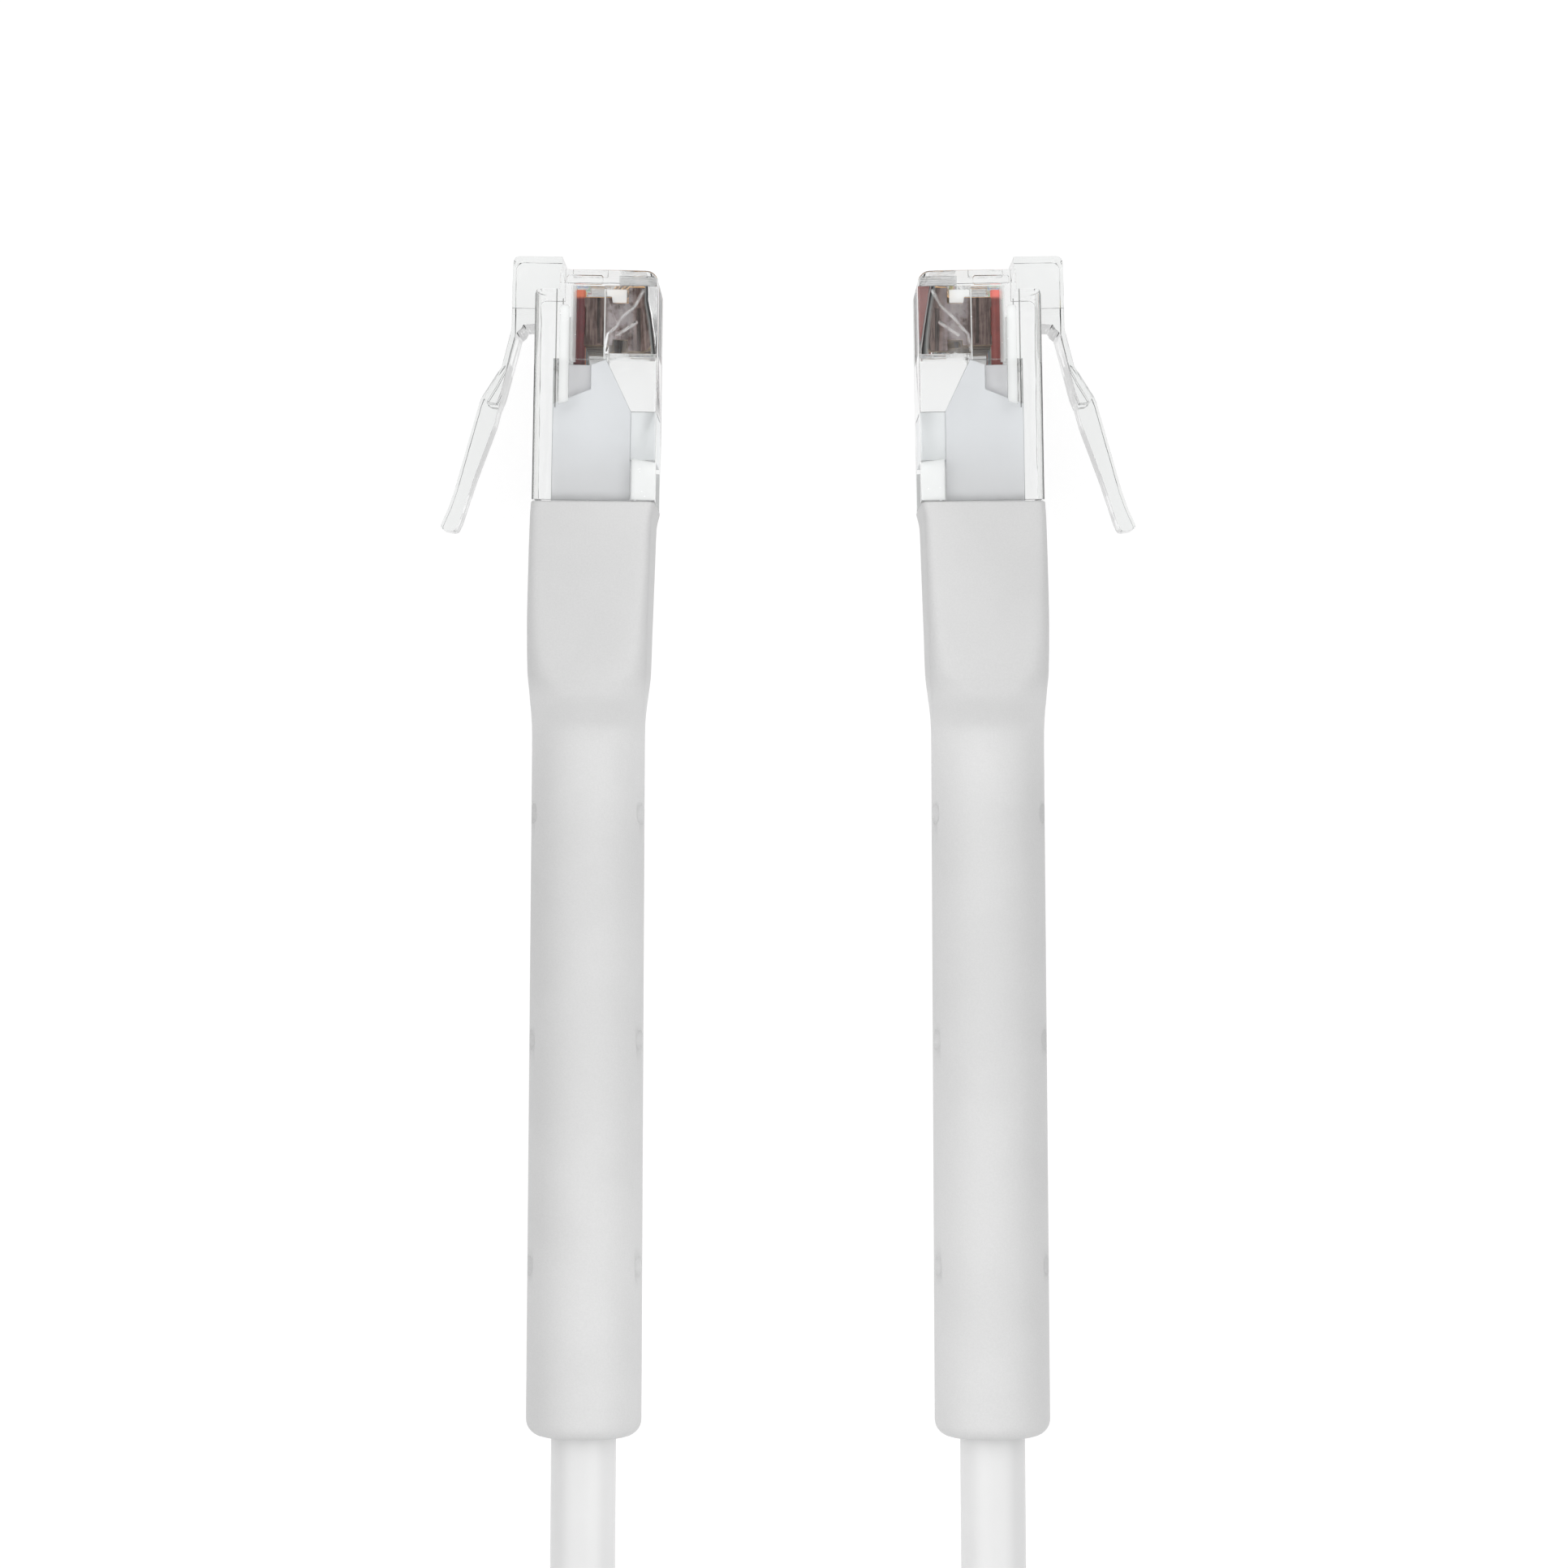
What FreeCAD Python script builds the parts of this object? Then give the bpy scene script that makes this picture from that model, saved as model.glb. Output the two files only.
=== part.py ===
import FreeCAD, Part
import math
import os
import re
import Sketcher

# An ethernet patch cable: two clear eight-way plugs with moulded boots on one slim round cable.
# Both ends lie on their narrow side, noses along +Y, latches outwards, axes half a boot above the floor.
# The cable between them is wound into a flat coil behind the boots.

Vector = FreeCAD.Vector
Placement = FreeCAD.Placement
Rotation = FreeCAD.Rotation

# Driving dimensions in millimetres and degrees
SIZES = [
    ("plug_width", 11.68),
    ("plug_height", 6.5),
    ("plug_length", 20.6),
    ("plug_exposed", 12.2),
    ("plug_lean", 0.62),
    ("plug_offset", 0.36),
    ("plug_edge", 0.3),
    ("mouth_gap", 0.05),
    ("lip_length", 1.03),
    ("lip_height", 5.2),
    ("lip_corner", 0.65),
    ("rear_step", 0.5),
    ("root_width", 6.0),
    ("root_height", 7.85),
    ("root_ahead", 0.95),
    ("root_back", 2.75),
    ("root_corner", 0.42),
    ("root_foot", 0.34),
    ("hinge_height", 7.57),
    ("hinge_behind", 0.2),
    ("hinge_gap", 0.06),
    ("arm_thickness", 0.68),
    ("arm_length", 2.0),
    ("lever_angle", 14.0),
    ("lever_width", 3.25),
    ("lever_rise", 0.77),
    ("lever_step", 4.35),
    ("lever_length", 9.76),
    ("lever_draw", 0.43),
    ("grip_length", 1.5),
    ("grip_rise", 0.15),
    ("catch_length", 4.13),
    ("catch_rise", 0.46),
    ("catch_bevel", 0.28),
    ("contact_pitch", 1.016),
    ("contact_thickness", 0.35),
    ("contact_depth", 0.36),
    ("contact_front", 0.77),
    ("contact_length", 3.41),
    ("contact_head", 1.24),
    ("contact_neck", 0.75),
    ("contact_waist", 1.95),
    ("contact_foot", 1.52),
    ("contact_span", 2.58),
    ("contact_shift", 0.12),
    ("contact_corner", 0.55),
    ("prong_length", 0.26),
    ("prong_width", 0.5),
    ("prong_inset", 0.12),
    ("slot_front", 0.7),
    ("slot_length", 3.6),
    ("slot_gap", 0.05),
    ("channel_front", 0.75),
    ("channel_top", 2.85),
    ("channel_depth", 1.7),
    ("channel_width", 0.84),
    ("cavity_width", 9.2),
    ("cavity_front", 4.65),
    ("cavity_ramp", 2.74),
    ("ceiling_front", 2.7),
    ("ceiling_height", 1.35),
    ("floor_height", 5.5),
    ("pocket_front", 1.77),
    ("pocket_depth", 0.8),
    ("bar_front", 4.94),
    ("bar_top", 3.5),
    ("bar_bottom", 4.7),
    ("bar_length", 1.3),
    ("bar_slant", 0.48),
    ("bar_width", 8.6),
    ("recess_front", 9.95),
    ("recess_length", 3.65),
    ("recess_width", 7.6),
    ("clamp_reach", 2.0),
    ("clamp_tip", 0.8),
    ("clamp_gap", 0.2),
    ("wire_diameter", 0.62),
    ("core_diameter", 0.36),
    ("wire_front", 0.95),
    ("wire_fan_start", 6.7),
    ("wire_fan_length", 3.7),
    ("wire_bend", 2.2),
    ("wire_gap", 0.02),
    ("bundle_radius", 0.94),
    ("bundle_turn", 78.0),
    ("jacket_front", 11.1),
    ("jacket_wall", 0.45),
    ("cable_diameter", 3.5),
    ("boot_length", 50.04),
    ("boot_width", 11.9),
    ("boot_height", 6.56),
    ("boot_corner", 0.7),
    ("side_trim", 0.02),
    ("boot_wide_length", 9.9),
    ("boot_waist_height", 6.15),
    ("boot_waist_offset", 0.03),
    ("boot_waist_corner", 1.5),
    ("boot_shoulder", 2.2),
    ("boot_neck_diameter", 6.08),
    ("boot_tail_diameter", 6.22),
    ("boot_tail_round", 0.9),
    ("dimple_diameter", 1.05),
    ("dimple_depth", 0.45),
    ("dimple_pitch", 12.15),
    ("dimple_first", 9.2),
    ("dimple_angle", 18.0),
    ("end_lean", 0.41),
    ("end_spacing", 22.04),
    ("coil_inner_radius", 12.54),
    ("coil_pitch", 3.95),
    ("coil_layer_rise", 3.95),
    ("coil_distance", 46.4),
    ("coil_entry_angle", 150.0),
    ("tie_width", 6.0),
    ("tie_thickness", 0.6),
    ("tie_corner", 2.2),
    ("tie_gap", 0.1),
    ("tie_room", 0.6),
]
CONTACTS = 8
DIMPLES = 3
COIL_TURNS = 7
COIL_STEPS = 28
RUN_SHARE = 0.45

doc = FreeCAD.newDocument("ethernet_patch_cable")
sheet = doc.addObject("Spreadsheet::Sheet", "sizes")
for row, (alias, value) in enumerate(SIZES, 1):
    sheet.set("A%d" % row, alias)
    sheet.set("B%d" % row, str(value))
    sheet.setAlias("B%d" % row, alias)
doc.recompute()
ALIASES = {alias for alias, value in SIZES}
nodes = []


def size(alias):
    """The number that the sheet holds under this name."""
    return float(sheet.get(alias))


def formula(text):
    """An expression on the sheet's names, ready for setExpression."""
    return re.sub(r"[a-z][a-z_]*", lambda word: "sizes." + word[0] if word[0] in ALIASES else word[0], text)


def keep(feature, label):
    """Name a finished piece and list it for export."""
    feature.Label = label
    nodes.append(feature)
    return feature


# Sketch and feature helpers
def origin_part(body, role):
    return [part for part in body.Origin.OriginFeatures if part.Role == role][0]


def new_sketch(body, name, plane, lift="0"):
    sketch = body.newObject("Sketcher::SketchObject", name)
    sketch.AttachmentSupport = [(origin_part(body, plane), "")]
    sketch.MapMode = "FlatFace"
    sketch.setExpression("AttachmentOffset.Base.z", formula(lift))
    return sketch


def pin(sketch, item, end, across, along):
    """Hold one point of the sketch at two formulas from the origin."""
    for direction, text in (("DistanceX", across), ("DistanceY", along)):
        index = sketch.addConstraint(Sketcher.Constraint(direction, -1, 1, item, end, 1.0))
        sketch.setExpression("Constraints[%d]" % index, formula(text))


def outline(sketch, corners):
    """A closed polygon whose corners are held at pairs of formulas."""
    count = len(corners)
    for index in range(count):
        angle = 2 * math.pi * index / count
        following = angle + 2 * math.pi / count
        start = Vector(math.cos(angle), math.sin(angle), 0)
        end = Vector(math.cos(following), math.sin(following), 0)
        sketch.addGeometry(Part.LineSegment(start, end), False)
    for index in range(count):
        sketch.addConstraint(Sketcher.Constraint("Coincident", index, 2, (index + 1) % count, 1))
    for index, (across, along) in enumerate(corners):
        pin(sketch, index, 1, across, along)
    return sketch


def profile(body, name, corners, lift="0"):
    """An outline whose corners are (depth below the contact face, distance behind the nose)."""
    placed = [("-(%s)" % depth, "-(%s)" % behind) for depth, behind in corners]
    return outline(new_sketch(body, name, "XY_Plane", lift), placed)


def circle(body, name, across, along, diameter, plane="XY_Plane", lift="0"):
    sketch = new_sketch(body, name, plane, lift)
    add_circle(sketch, across, along, diameter)
    return sketch


def add_circle(sketch, across, along, diameter):
    item = sketch.addGeometry(Part.Circle(Vector(1, 1, 0), Vector(0, 0, 1), 1), False)
    pin(sketch, item, 3, across, along)
    index = sketch.addConstraint(Sketcher.Constraint("Diameter", item, 1.0))
    sketch.setExpression("Constraints[%d]" % index, formula(diameter))


def rounded_rectangle(body, name, plane, lift, centre, spans, corner):
    """Four sides with tangent corner arcs, centred at two formulas."""
    sketch = new_sketch(body, name, plane, lift)
    quarter = math.pi / 2
    for turn in range(4):
        side = Rotation(Vector(0, 0, 1), 90.0 * turn)
        start = side.multVec(Vector(10, -5, 0))
        end = side.multVec(Vector(10, 5, 0))
        middle = side.multVec(Vector(5, 5, 0))
        sketch.addGeometry(Part.LineSegment(start, end), False)
        round_corner = Part.Circle(middle, Vector(0, 0, 1), 5)
        sketch.addGeometry(Part.ArcOfCircle(round_corner, quarter * turn, quarter * (turn + 1)), False)
    for turn in range(4):
        line = 2 * turn
        arc = line + 1
        following = (line + 2) % 8
        sketch.addConstraint(Sketcher.Constraint("Tangent", line, 2, arc, 1))
        sketch.addConstraint(Sketcher.Constraint("Tangent", arc, 2, following, 1))
        sketch.addConstraint(Sketcher.Constraint("Horizontal" if turn % 2 else "Vertical", line))
        if turn:
            sketch.addConstraint(Sketcher.Constraint("Equal", 1, arc))
    index = sketch.addConstraint(Sketcher.Constraint("Radius", 1, 5.0))
    sketch.setExpression("Constraints[%d]" % index, formula(corner))
    for item, direction, axis, sign, start in (
        (0, "DistanceX", 0, "+", 10.0),
        (2, "DistanceY", 1, "+", 10.0),
        (4, "DistanceX", 0, "-", -10.0),
        (6, "DistanceY", 1, "-", -10.0),
    ):
        index = sketch.addConstraint(Sketcher.Constraint(direction, -1, 1, item, 1, start))
        text = "(%s) %s (%s) / 2" % (centre[axis], sign, spans[axis])
        sketch.setExpression("Constraints[%d]" % index, formula(text))
    return sketch


def extrude(body, kind, name, sketch, length, symmetric=True, backwards=False):
    """A Pad or Pocket of a sketch, both ways from its plane unless told otherwise."""
    feature = body.newObject("PartDesign::" + kind, name)
    feature.Profile = sketch
    feature.SideType = "Symmetric" if symmetric else "One side"
    feature.Reversed = backwards
    feature.setExpression("Length", formula(length))
    body.Tip = feature
    return feature


def round_edges(body, name, radius, picks):
    """Fillet the edges across the width that pass through the picked corners."""
    doc.recompute()
    base = body.Tip
    chosen = []
    for number, edge in enumerate(base.Shape.Edges, 1):
        ends = [vertex.Point for vertex in edge.Vertexes]
        if len(ends) < 2:
            continue
        for depth, behind in picks:
            if all(math.hypot(end.x + depth, end.y + behind) < 0.01 for end in ends):
                chosen.append("Edge%d" % number)
    fillet = body.newObject("PartDesign::Fillet", name)
    fillet.Base = (base, chosen)
    fillet.setExpression("Radius", formula(radius))
    body.Tip = fillet
    return fillet


def width_pattern(body, name, originals):
    """Repeat features at the contact pitch across the width."""
    pattern = body.newObject("PartDesign::LinearPattern", name)
    pattern.Originals = originals
    pattern.Direction = (origin_part(body, "Z_Axis"), [""])
    pattern.Occurrences = CONTACTS
    pattern.setExpression("Length", formula("contact_pitch * %d" % (CONTACTS - 1)))
    body.Tip = pattern
    return pattern


FIRST_CONTACT = "-contact_pitch * %s" % ((CONTACTS - 1) / 2)


# Tube paths
def arc_edge(start, way, end):
    """The arc that leaves start along way and reaches end."""
    chord = end - start
    reach = chord.Length
    along = chord / reach
    aside = way - along * way.dot(along)
    if aside.Length < 1e-6:
        return Part.LineSegment(start, end).toShape()
    aside.normalize()
    lean = math.acos(max(-1.0, min(1.0, way.dot(along))))
    middle = (start + end) / 2 + aside * (reach / 2 * math.tan(lean / 2))
    return Part.Arc(start, middle, end).toShape()


def biarc(start, start_way, end, end_way):
    """Two tangent arcs between two points with given directions."""
    chord = end - start
    both = start_way + end_way
    spread = 1 - start_way.dot(end_way)
    lead = chord.dot(both)
    if spread < 1e-9:
        step = chord.dot(chord) / (2 * lead)
    else:
        step = (math.sqrt(lead * lead + 2 * spread * chord.dot(chord)) - lead) / (2 * spread)
    first = start + start_way * step
    last = end - end_way * step
    middle = (first + last) / 2
    way = last - first
    way.normalize()
    return [arc_edge(start, start_way, middle), arc_edge(middle, way, end)]


def rounded_route(points, bend=None):
    """Straight runs joined by tangent arcs. Without a bend radius each arc is as large as its runs allow."""
    edges = []
    radii = []
    here = points[0]
    for before, corner, after in zip(points, points[1:], points[2:]):
        way_in = corner - before
        way_out = after - corner
        shorter = min(way_in.Length, way_out.Length)
        way_in.normalize()
        way_out.normalize()
        half_turn = math.acos(max(-1.0, min(1.0, way_in.dot(way_out)))) / 2
        cut = bend * math.tan(half_turn) if bend else RUN_SHARE * shorter
        start = corner - way_in * cut
        end = corner + way_out * cut
        edges.append(Part.LineSegment(here, start).toShape())
        edges.append(arc_edge(start, way_in, end))
        radii.append(cut / math.tan(half_turn))
        here = end
    edges.append(Part.LineSegment(here, points[-1]).toShape())
    return edges, radii


def tube(name, edges, radius, place=None):
    """A solid round tube along tangent edges."""
    spine = Part.Wire(edges)
    way = edges[0].tangentAt(edges[0].FirstParameter)
    ring = Part.Wire(Part.makeCircle(radius, edges[0].valueAt(edges[0].FirstParameter), way))
    feature = doc.addObject("Part::Feature", name)
    feature.Shape = spine.makePipeShell([ring], True, False)
    if place:
        feature.Placement = place
    return feature


def check_tube(label, feature, edges, radius):
    length = sum(edge.Length for edge in edges)
    expected = math.pi * radius * radius * length
    print("%s: %.1f mm long, volume %.2f of %.2f mm3" % (label, length, feature.Shape.Volume, expected))
    return length


# Places of the frames
axis_height = size("boot_width") / 2
overall = size("boot_length") + size("plug_exposed") + size("root_ahead")
UP = Vector(0, 0, 1)
left_boot = Placement(
    Vector(-size("end_spacing") / 2, -overall / 2, axis_height),
    Rotation(UP, -size("end_lean")),
)
turned_over = Placement(Vector(0, 0, 2 * axis_height), Rotation(Vector(0, 1, 0), 180))
boot_places = {"left": left_boot, "right": turned_over * left_boot}
# The plug leans in the boot. Its frame starts on the contact face at the nose.
boot_mouth = Placement(Vector(size("plug_offset"), size("boot_length"), 0), Rotation(UP, -size("plug_lean")))
plug_in_boot = boot_mouth * Placement(Vector(size("plug_height") / 2, size("plug_exposed"), 0), Rotation())


def contact_across(number):
    """The place across the width of one contact, the first at the +Z side."""
    return ((CONTACTS + 1) / 2 - number) * size("contact_pitch")


# Clear housing with the latch root, contact slots, wire channels and cavity
CAVITY = [
    ("ceiling_front", "cavity_front"),
    ("ceiling_height", "cavity_front + cavity_ramp"),
    ("ceiling_height", "plug_length"),
    ("floor_height", "plug_length"),
    ("floor_height", "pocket_front"),
    ("floor_height - pocket_depth", "pocket_front"),
    ("floor_height - pocket_depth", "cavity_front"),
]


def housing(side, place):
    body = doc.addObject("PartDesign::Body", side + "_housing")
    block = [
        ("0", "lip_length"),
        ("0", "plug_exposed - mouth_gap"),
        ("plug_height", "plug_exposed - mouth_gap"),
        ("plug_height", "lip_length"),
    ]
    extrude(body, "Pad", "block", profile(body, "block_outline", block), "plug_width")
    lip = [
        ("0", "0"),
        ("0", "lip_length"),
        ("lip_height", "lip_length"),
        ("lip_height", "0"),
    ]
    extrude(body, "Pad", "lip", profile(body, "lip_outline", lip), "plug_width")
    corners = [
        (size("plug_height"), size("lip_length")),
    ]
    round_edges(body, "step_round", "plug_edge", corners)
    round_edges(body, "lip_round", "lip_corner", [(0, 0)])
    rear = [
        ("rear_step", "plug_exposed - mouth_gap"),
        ("rear_step", "plug_length"),
        ("plug_height - rear_step", "plug_length"),
        ("plug_height - rear_step", "plug_exposed - mouth_gap"),
    ]
    extrude(body, "Pad", "rear", profile(body, "rear_outline", rear), "plug_width - 2 * rear_step")
    root = [
        ("lip_height", "-root_ahead"),
        ("lip_height", "root_back + root_foot"),
        ("plug_height + arm_thickness / 2", "root_back + root_foot"),
        ("plug_height + arm_thickness / 2 + root_foot / 2", "root_back"),
        ("root_height", "root_back"),
        ("root_height", "-root_ahead"),
    ]
    extrude(body, "Pad", "root", profile(body, "root_outline", root), "root_width")
    round_edges(body, "root_round", "root_corner", [(size("root_height"), -size("root_ahead"))])
    groove = circle(
        body,
        "groove_outline",
        "-hinge_height",
        "-(root_back + hinge_behind)",
        "arm_thickness + 2 * hinge_gap",
    )
    extrude(body, "Pocket", "groove", groove, "root_width")
    channel = [
        ("channel_top", "channel_front"),
        ("channel_top", "cavity_front"),
        ("channel_top + channel_depth", "cavity_front"),
        ("channel_top + channel_depth", "channel_front"),
    ]
    wire_channel = extrude(
        body,
        "Pocket",
        "wire_channel",
        profile(body, "channel_outline", channel, lift=FIRST_CONTACT),
        "channel_width",
    )
    slot = [
        ("-plug_edge", "slot_front"),
        ("-plug_edge", "slot_front + slot_length"),
        ("channel_top", "slot_front + slot_length"),
        ("channel_top", "slot_front"),
    ]
    contact_slot = extrude(
        body,
        "Pocket",
        "contact_slot",
        profile(body, "slot_outline", slot, lift=FIRST_CONTACT),
        "contact_thickness + 2 * slot_gap",
    )
    width_pattern(body, "contact_row", [wire_channel, contact_slot])
    extrude(body, "Pocket", "cavity", profile(body, "cavity_outline", CAVITY), "cavity_width")
    recess = [
        ("-plug_edge", "recess_front"),
        ("-plug_edge", "recess_front + recess_length"),
        ("ceiling_height", "recess_front + recess_length"),
        ("ceiling_height", "recess_front"),
    ]
    extrude(body, "Pocket", "recess", profile(body, "recess_outline", recess), "recess_width")
    tip = "(plug_height / 2 + plug_offset - cable_diameter / 2 - hinge_gap)"
    clamp = [
        ("rear_step", "recess_front + recess_length"),
        (tip, "recess_front + recess_length - clamp_reach"),
        (tip, "recess_front + recess_length - clamp_reach + clamp_tip"),
        ("ceiling_height", "recess_front + recess_length"),
    ]
    extrude(body, "Pad", "clamp", profile(body, "clamp_outline", clamp), "recess_width - 2 * clamp_gap")
    body.Placement = place
    return keep(body, side + "_plug_housing")


# Latch lever on its thin hinge, in a frame at the hinge with its length behind it
def latch(side, place):
    body = doc.addObject("PartDesign::Body", side + "_latch")
    half = "arm_thickness / 2"
    rise = half + " + catch_rise"
    arm = [
        ("-" + half, "0"),
        ("-" + half, "catch_length"),
        (rise + " - catch_bevel", "catch_length"),
        (rise, "catch_length - catch_bevel"),
        (half, "arm_length"),
        (half, "0"),
    ]
    extrude(body, "Pad", "arm", profile(body, "arm_outline", arm), "root_width")
    knuckle = circle(body, "knuckle_outline", "0", "0", "arm_thickness")
    extrude(body, "Pad", "knuckle", knuckle, "root_width")
    top = half + " + lever_rise"
    lever = [
        ("-" + half, "arm_length"),
        ("-" + half, "catch_length"),
        ("lever_draw - " + half, "lever_length"),
        ("lever_draw + grip_rise - " + half, "lever_length + grip_length"),
        (top + " + grip_rise", "lever_length + grip_length"),
        (top, "lever_length"),
        (top, "lever_step"),
        (half, "arm_length"),
    ]
    extrude(body, "Pad", "lever", profile(body, "lever_outline", lever), "lever_width")
    tip = size("lever_length") + size("grip_length")
    inner = size("lever_draw") + size("grip_rise") - size("arm_thickness") / 2
    outer = size("arm_thickness") / 2 + size("lever_rise") + size("grip_rise")
    round_edges(body, "tip_round", "arm_thickness / 2", [(inner, tip), (outer, tip)])
    hinge = Vector(-size("hinge_height"), -(size("root_back") + size("hinge_behind")), 0)
    body.Placement = place * Placement(hinge, Rotation(UP, -size("lever_angle")))
    return keep(body, side + "_latch_lever")


# One insulation-piercing contact blade
def contact(side, number, place):
    body = doc.addObject("PartDesign::Body", "%s_blade_%d" % (side, number))
    head = "contact_depth + contact_head"
    neck = head + " + contact_neck"
    foot = neck + " + contact_foot"
    middle = "contact_front + contact_length / 2 + contact_shift"
    back = middle + " + contact_span / 2"
    front = middle + " - contact_span / 2"
    point = foot + " + prong_length"
    blade = [
        ("contact_depth", "contact_front"),
        ("contact_depth", "contact_front + contact_length"),
        (head, "contact_front + contact_length"),
        (head, middle + " + contact_waist / 2"),
        (neck, middle + " + contact_waist / 2"),
        (neck, back),
        (foot, back),
        (point, back + " - prong_inset"),
        (foot, back + " - prong_inset - prong_width"),
        (foot, front + " + prong_inset + prong_width"),
        (point, front + " + prong_inset"),
        (foot, front),
        (neck, front),
        (neck, middle + " - contact_waist / 2"),
        (head, middle + " - contact_waist / 2"),
        (head, "contact_front"),
    ]
    extrude(body, "Pad", "blade", profile(body, "blade_outline", blade), "contact_thickness")
    depth = size("contact_depth")
    ends = [(depth, size("contact_front")), (depth, size("contact_front") + size("contact_length"))]
    round_edges(body, "blade_round", "contact_corner", ends)
    body.Placement = place * Placement(Vector(0, 0, contact_across(number)), Rotation())
    return keep(body, "%s_contact_%d" % (side, number))


# Bar that keeps the wires in line behind the contacts
def load_bar(side, place, passages):
    body = doc.addObject("PartDesign::Body", side + "_comb")
    outline = [
        ("bar_top", "bar_front"),
        ("bar_top", "bar_front + bar_length"),
        ("bar_bottom", "bar_front + bar_length + bar_slant"),
        ("bar_bottom", "bar_front"),
    ]
    extrude(body, "Pad", "comb", profile(body, "comb_outline", outline), "bar_width")
    body.Placement = place
    cut = doc.addObject("Part::Cut", side + "_drilled_comb")
    cut.Base = body
    cut.Tool = passages
    return keep(cut, side + "_load_bar")


# Wires that fan from the round cable to the row of contacts
def wire_points(number):
    """The route of one wire in the boot's frame, from under its contact to the boot's tail."""
    depth = (
        size("contact_depth")
        + size("contact_head")
        + size("contact_neck")
        + size("contact_foot")
        + size("wire_diameter") / 2
    )
    across = contact_across(number)
    front = plug_in_boot.multVec(Vector(-depth, -size("wire_front"), across))
    fan = plug_in_boot.multVec(Vector(-depth, -size("wire_fan_start"), across))
    bundle = bundle_place(number)
    gathered = size("boot_length") + size("plug_exposed") - size("wire_fan_start") - size("wire_fan_length")
    return [front, fan, bundle + Vector(0, gathered, 0), bundle]


def bundle_place(number):
    """One wire of seven round an eighth, seen along the cable."""
    order = {1: 0, 2: 1, 3: 6, 5: 2, 6: 5, 7: 3, 8: 4}
    if number not in order:
        return Vector(0, 0, 0)
    angle = math.radians(size("bundle_turn") + 360.0 * order[number] / (CONTACTS - 1))
    return Vector(math.cos(angle), 0, math.sin(angle)) * size("bundle_radius")


def wires(side, place, blades):
    rods = []
    cores = []
    passages = []
    for number in range(1, CONTACTS + 1):
        edges, radii = rounded_route(wire_points(number), size("wire_bend"))
        name = "%s_wire_%d" % (side, number)
        rod = tube(name + "_rod", edges, size("wire_diameter") / 2, place)
        core = tube(name + "_core", edges, size("core_diameter") / 2, place)
        passages.append(tube(name + "_way", edges, size("wire_diameter") / 2 + size("wire_gap"), place))
        bored = doc.addObject("Part::Cut", name + "_bored")
        bored.Base = rod
        bored.Tool = core
        pierced = doc.addObject("Part::Cut", name + "_pierced")
        pierced.Base = bored
        pierced.Tool = blades[number - 1]
        rods.append(keep(pierced, name))
        bitten = doc.addObject("Part::Cut", name + "_core_cut")
        bitten.Base = core
        bitten.Tool = blades[number - 1]
        cores.append(bitten)
    group = doc.addObject("Part::Compound", side + "_copper")
    group.Links = cores
    keep(group, side + "_wire_cores")
    ways = doc.addObject("Part::Compound", side + "_ways")
    ways.Links = passages
    return ways


# Jacket end, moulded filling and boot
def round_bar(name, diameter, length, place):
    """A cylinder along the cable axis, from the boot's tail towards the nose."""
    bar = doc.addObject("Part::Cylinder", name)
    bar.setExpression("Radius", formula("(%s) / 2" % diameter))
    bar.setExpression("Height", formula(length))
    bar.Placement = place * Placement(Vector(0, 0, 0), Rotation(Vector(1, 0, 0), -90))
    return bar


def jacket(side, place):
    length = "boot_length + plug_exposed - jacket_front"
    outer = round_bar(side + "_jacket_outside", "cable_diameter", length, place)
    inner = round_bar(side + "_jacket_bore", "cable_diameter - 2 * jacket_wall", length, place)
    cut = doc.addObject("Part::Cut", side + "_jacket_tube")
    cut.Base = outer
    cut.Tool = inner
    return keep(cut, side + "_cable_jacket"), outer


def filling(side, place, tools):
    """The moulded block that locks the jacket and the wires in the cavity."""
    body = doc.addObject("PartDesign::Body", side + "_block")
    slant_share = "(floor_height - bar_top) / (bar_bottom - bar_top)"
    outline = [
        ("ceiling_front", "cavity_front"),
        ("ceiling_height", "cavity_front + cavity_ramp"),
        ("ceiling_height", "plug_length"),
        ("floor_height", "plug_length"),
        ("floor_height", "bar_front + bar_length + bar_slant * " + slant_share),
        ("bar_bottom", "bar_front + bar_length + bar_slant"),
        ("bar_top", "bar_front + bar_length"),
        ("bar_top", "bar_front"),
    ]
    extrude(body, "Pad", "block", profile(body, "block_outline", outline), "cavity_width")
    body.Placement = place
    result = body
    for index, tool in enumerate(tools):
        cut = doc.addObject("Part::Cut", "%s_block_cut_%d" % (side, index))
        cut.Base = result
        cut.Tool = tool
        result = cut
    return keep(result, side + "_inner_mould")


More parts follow.
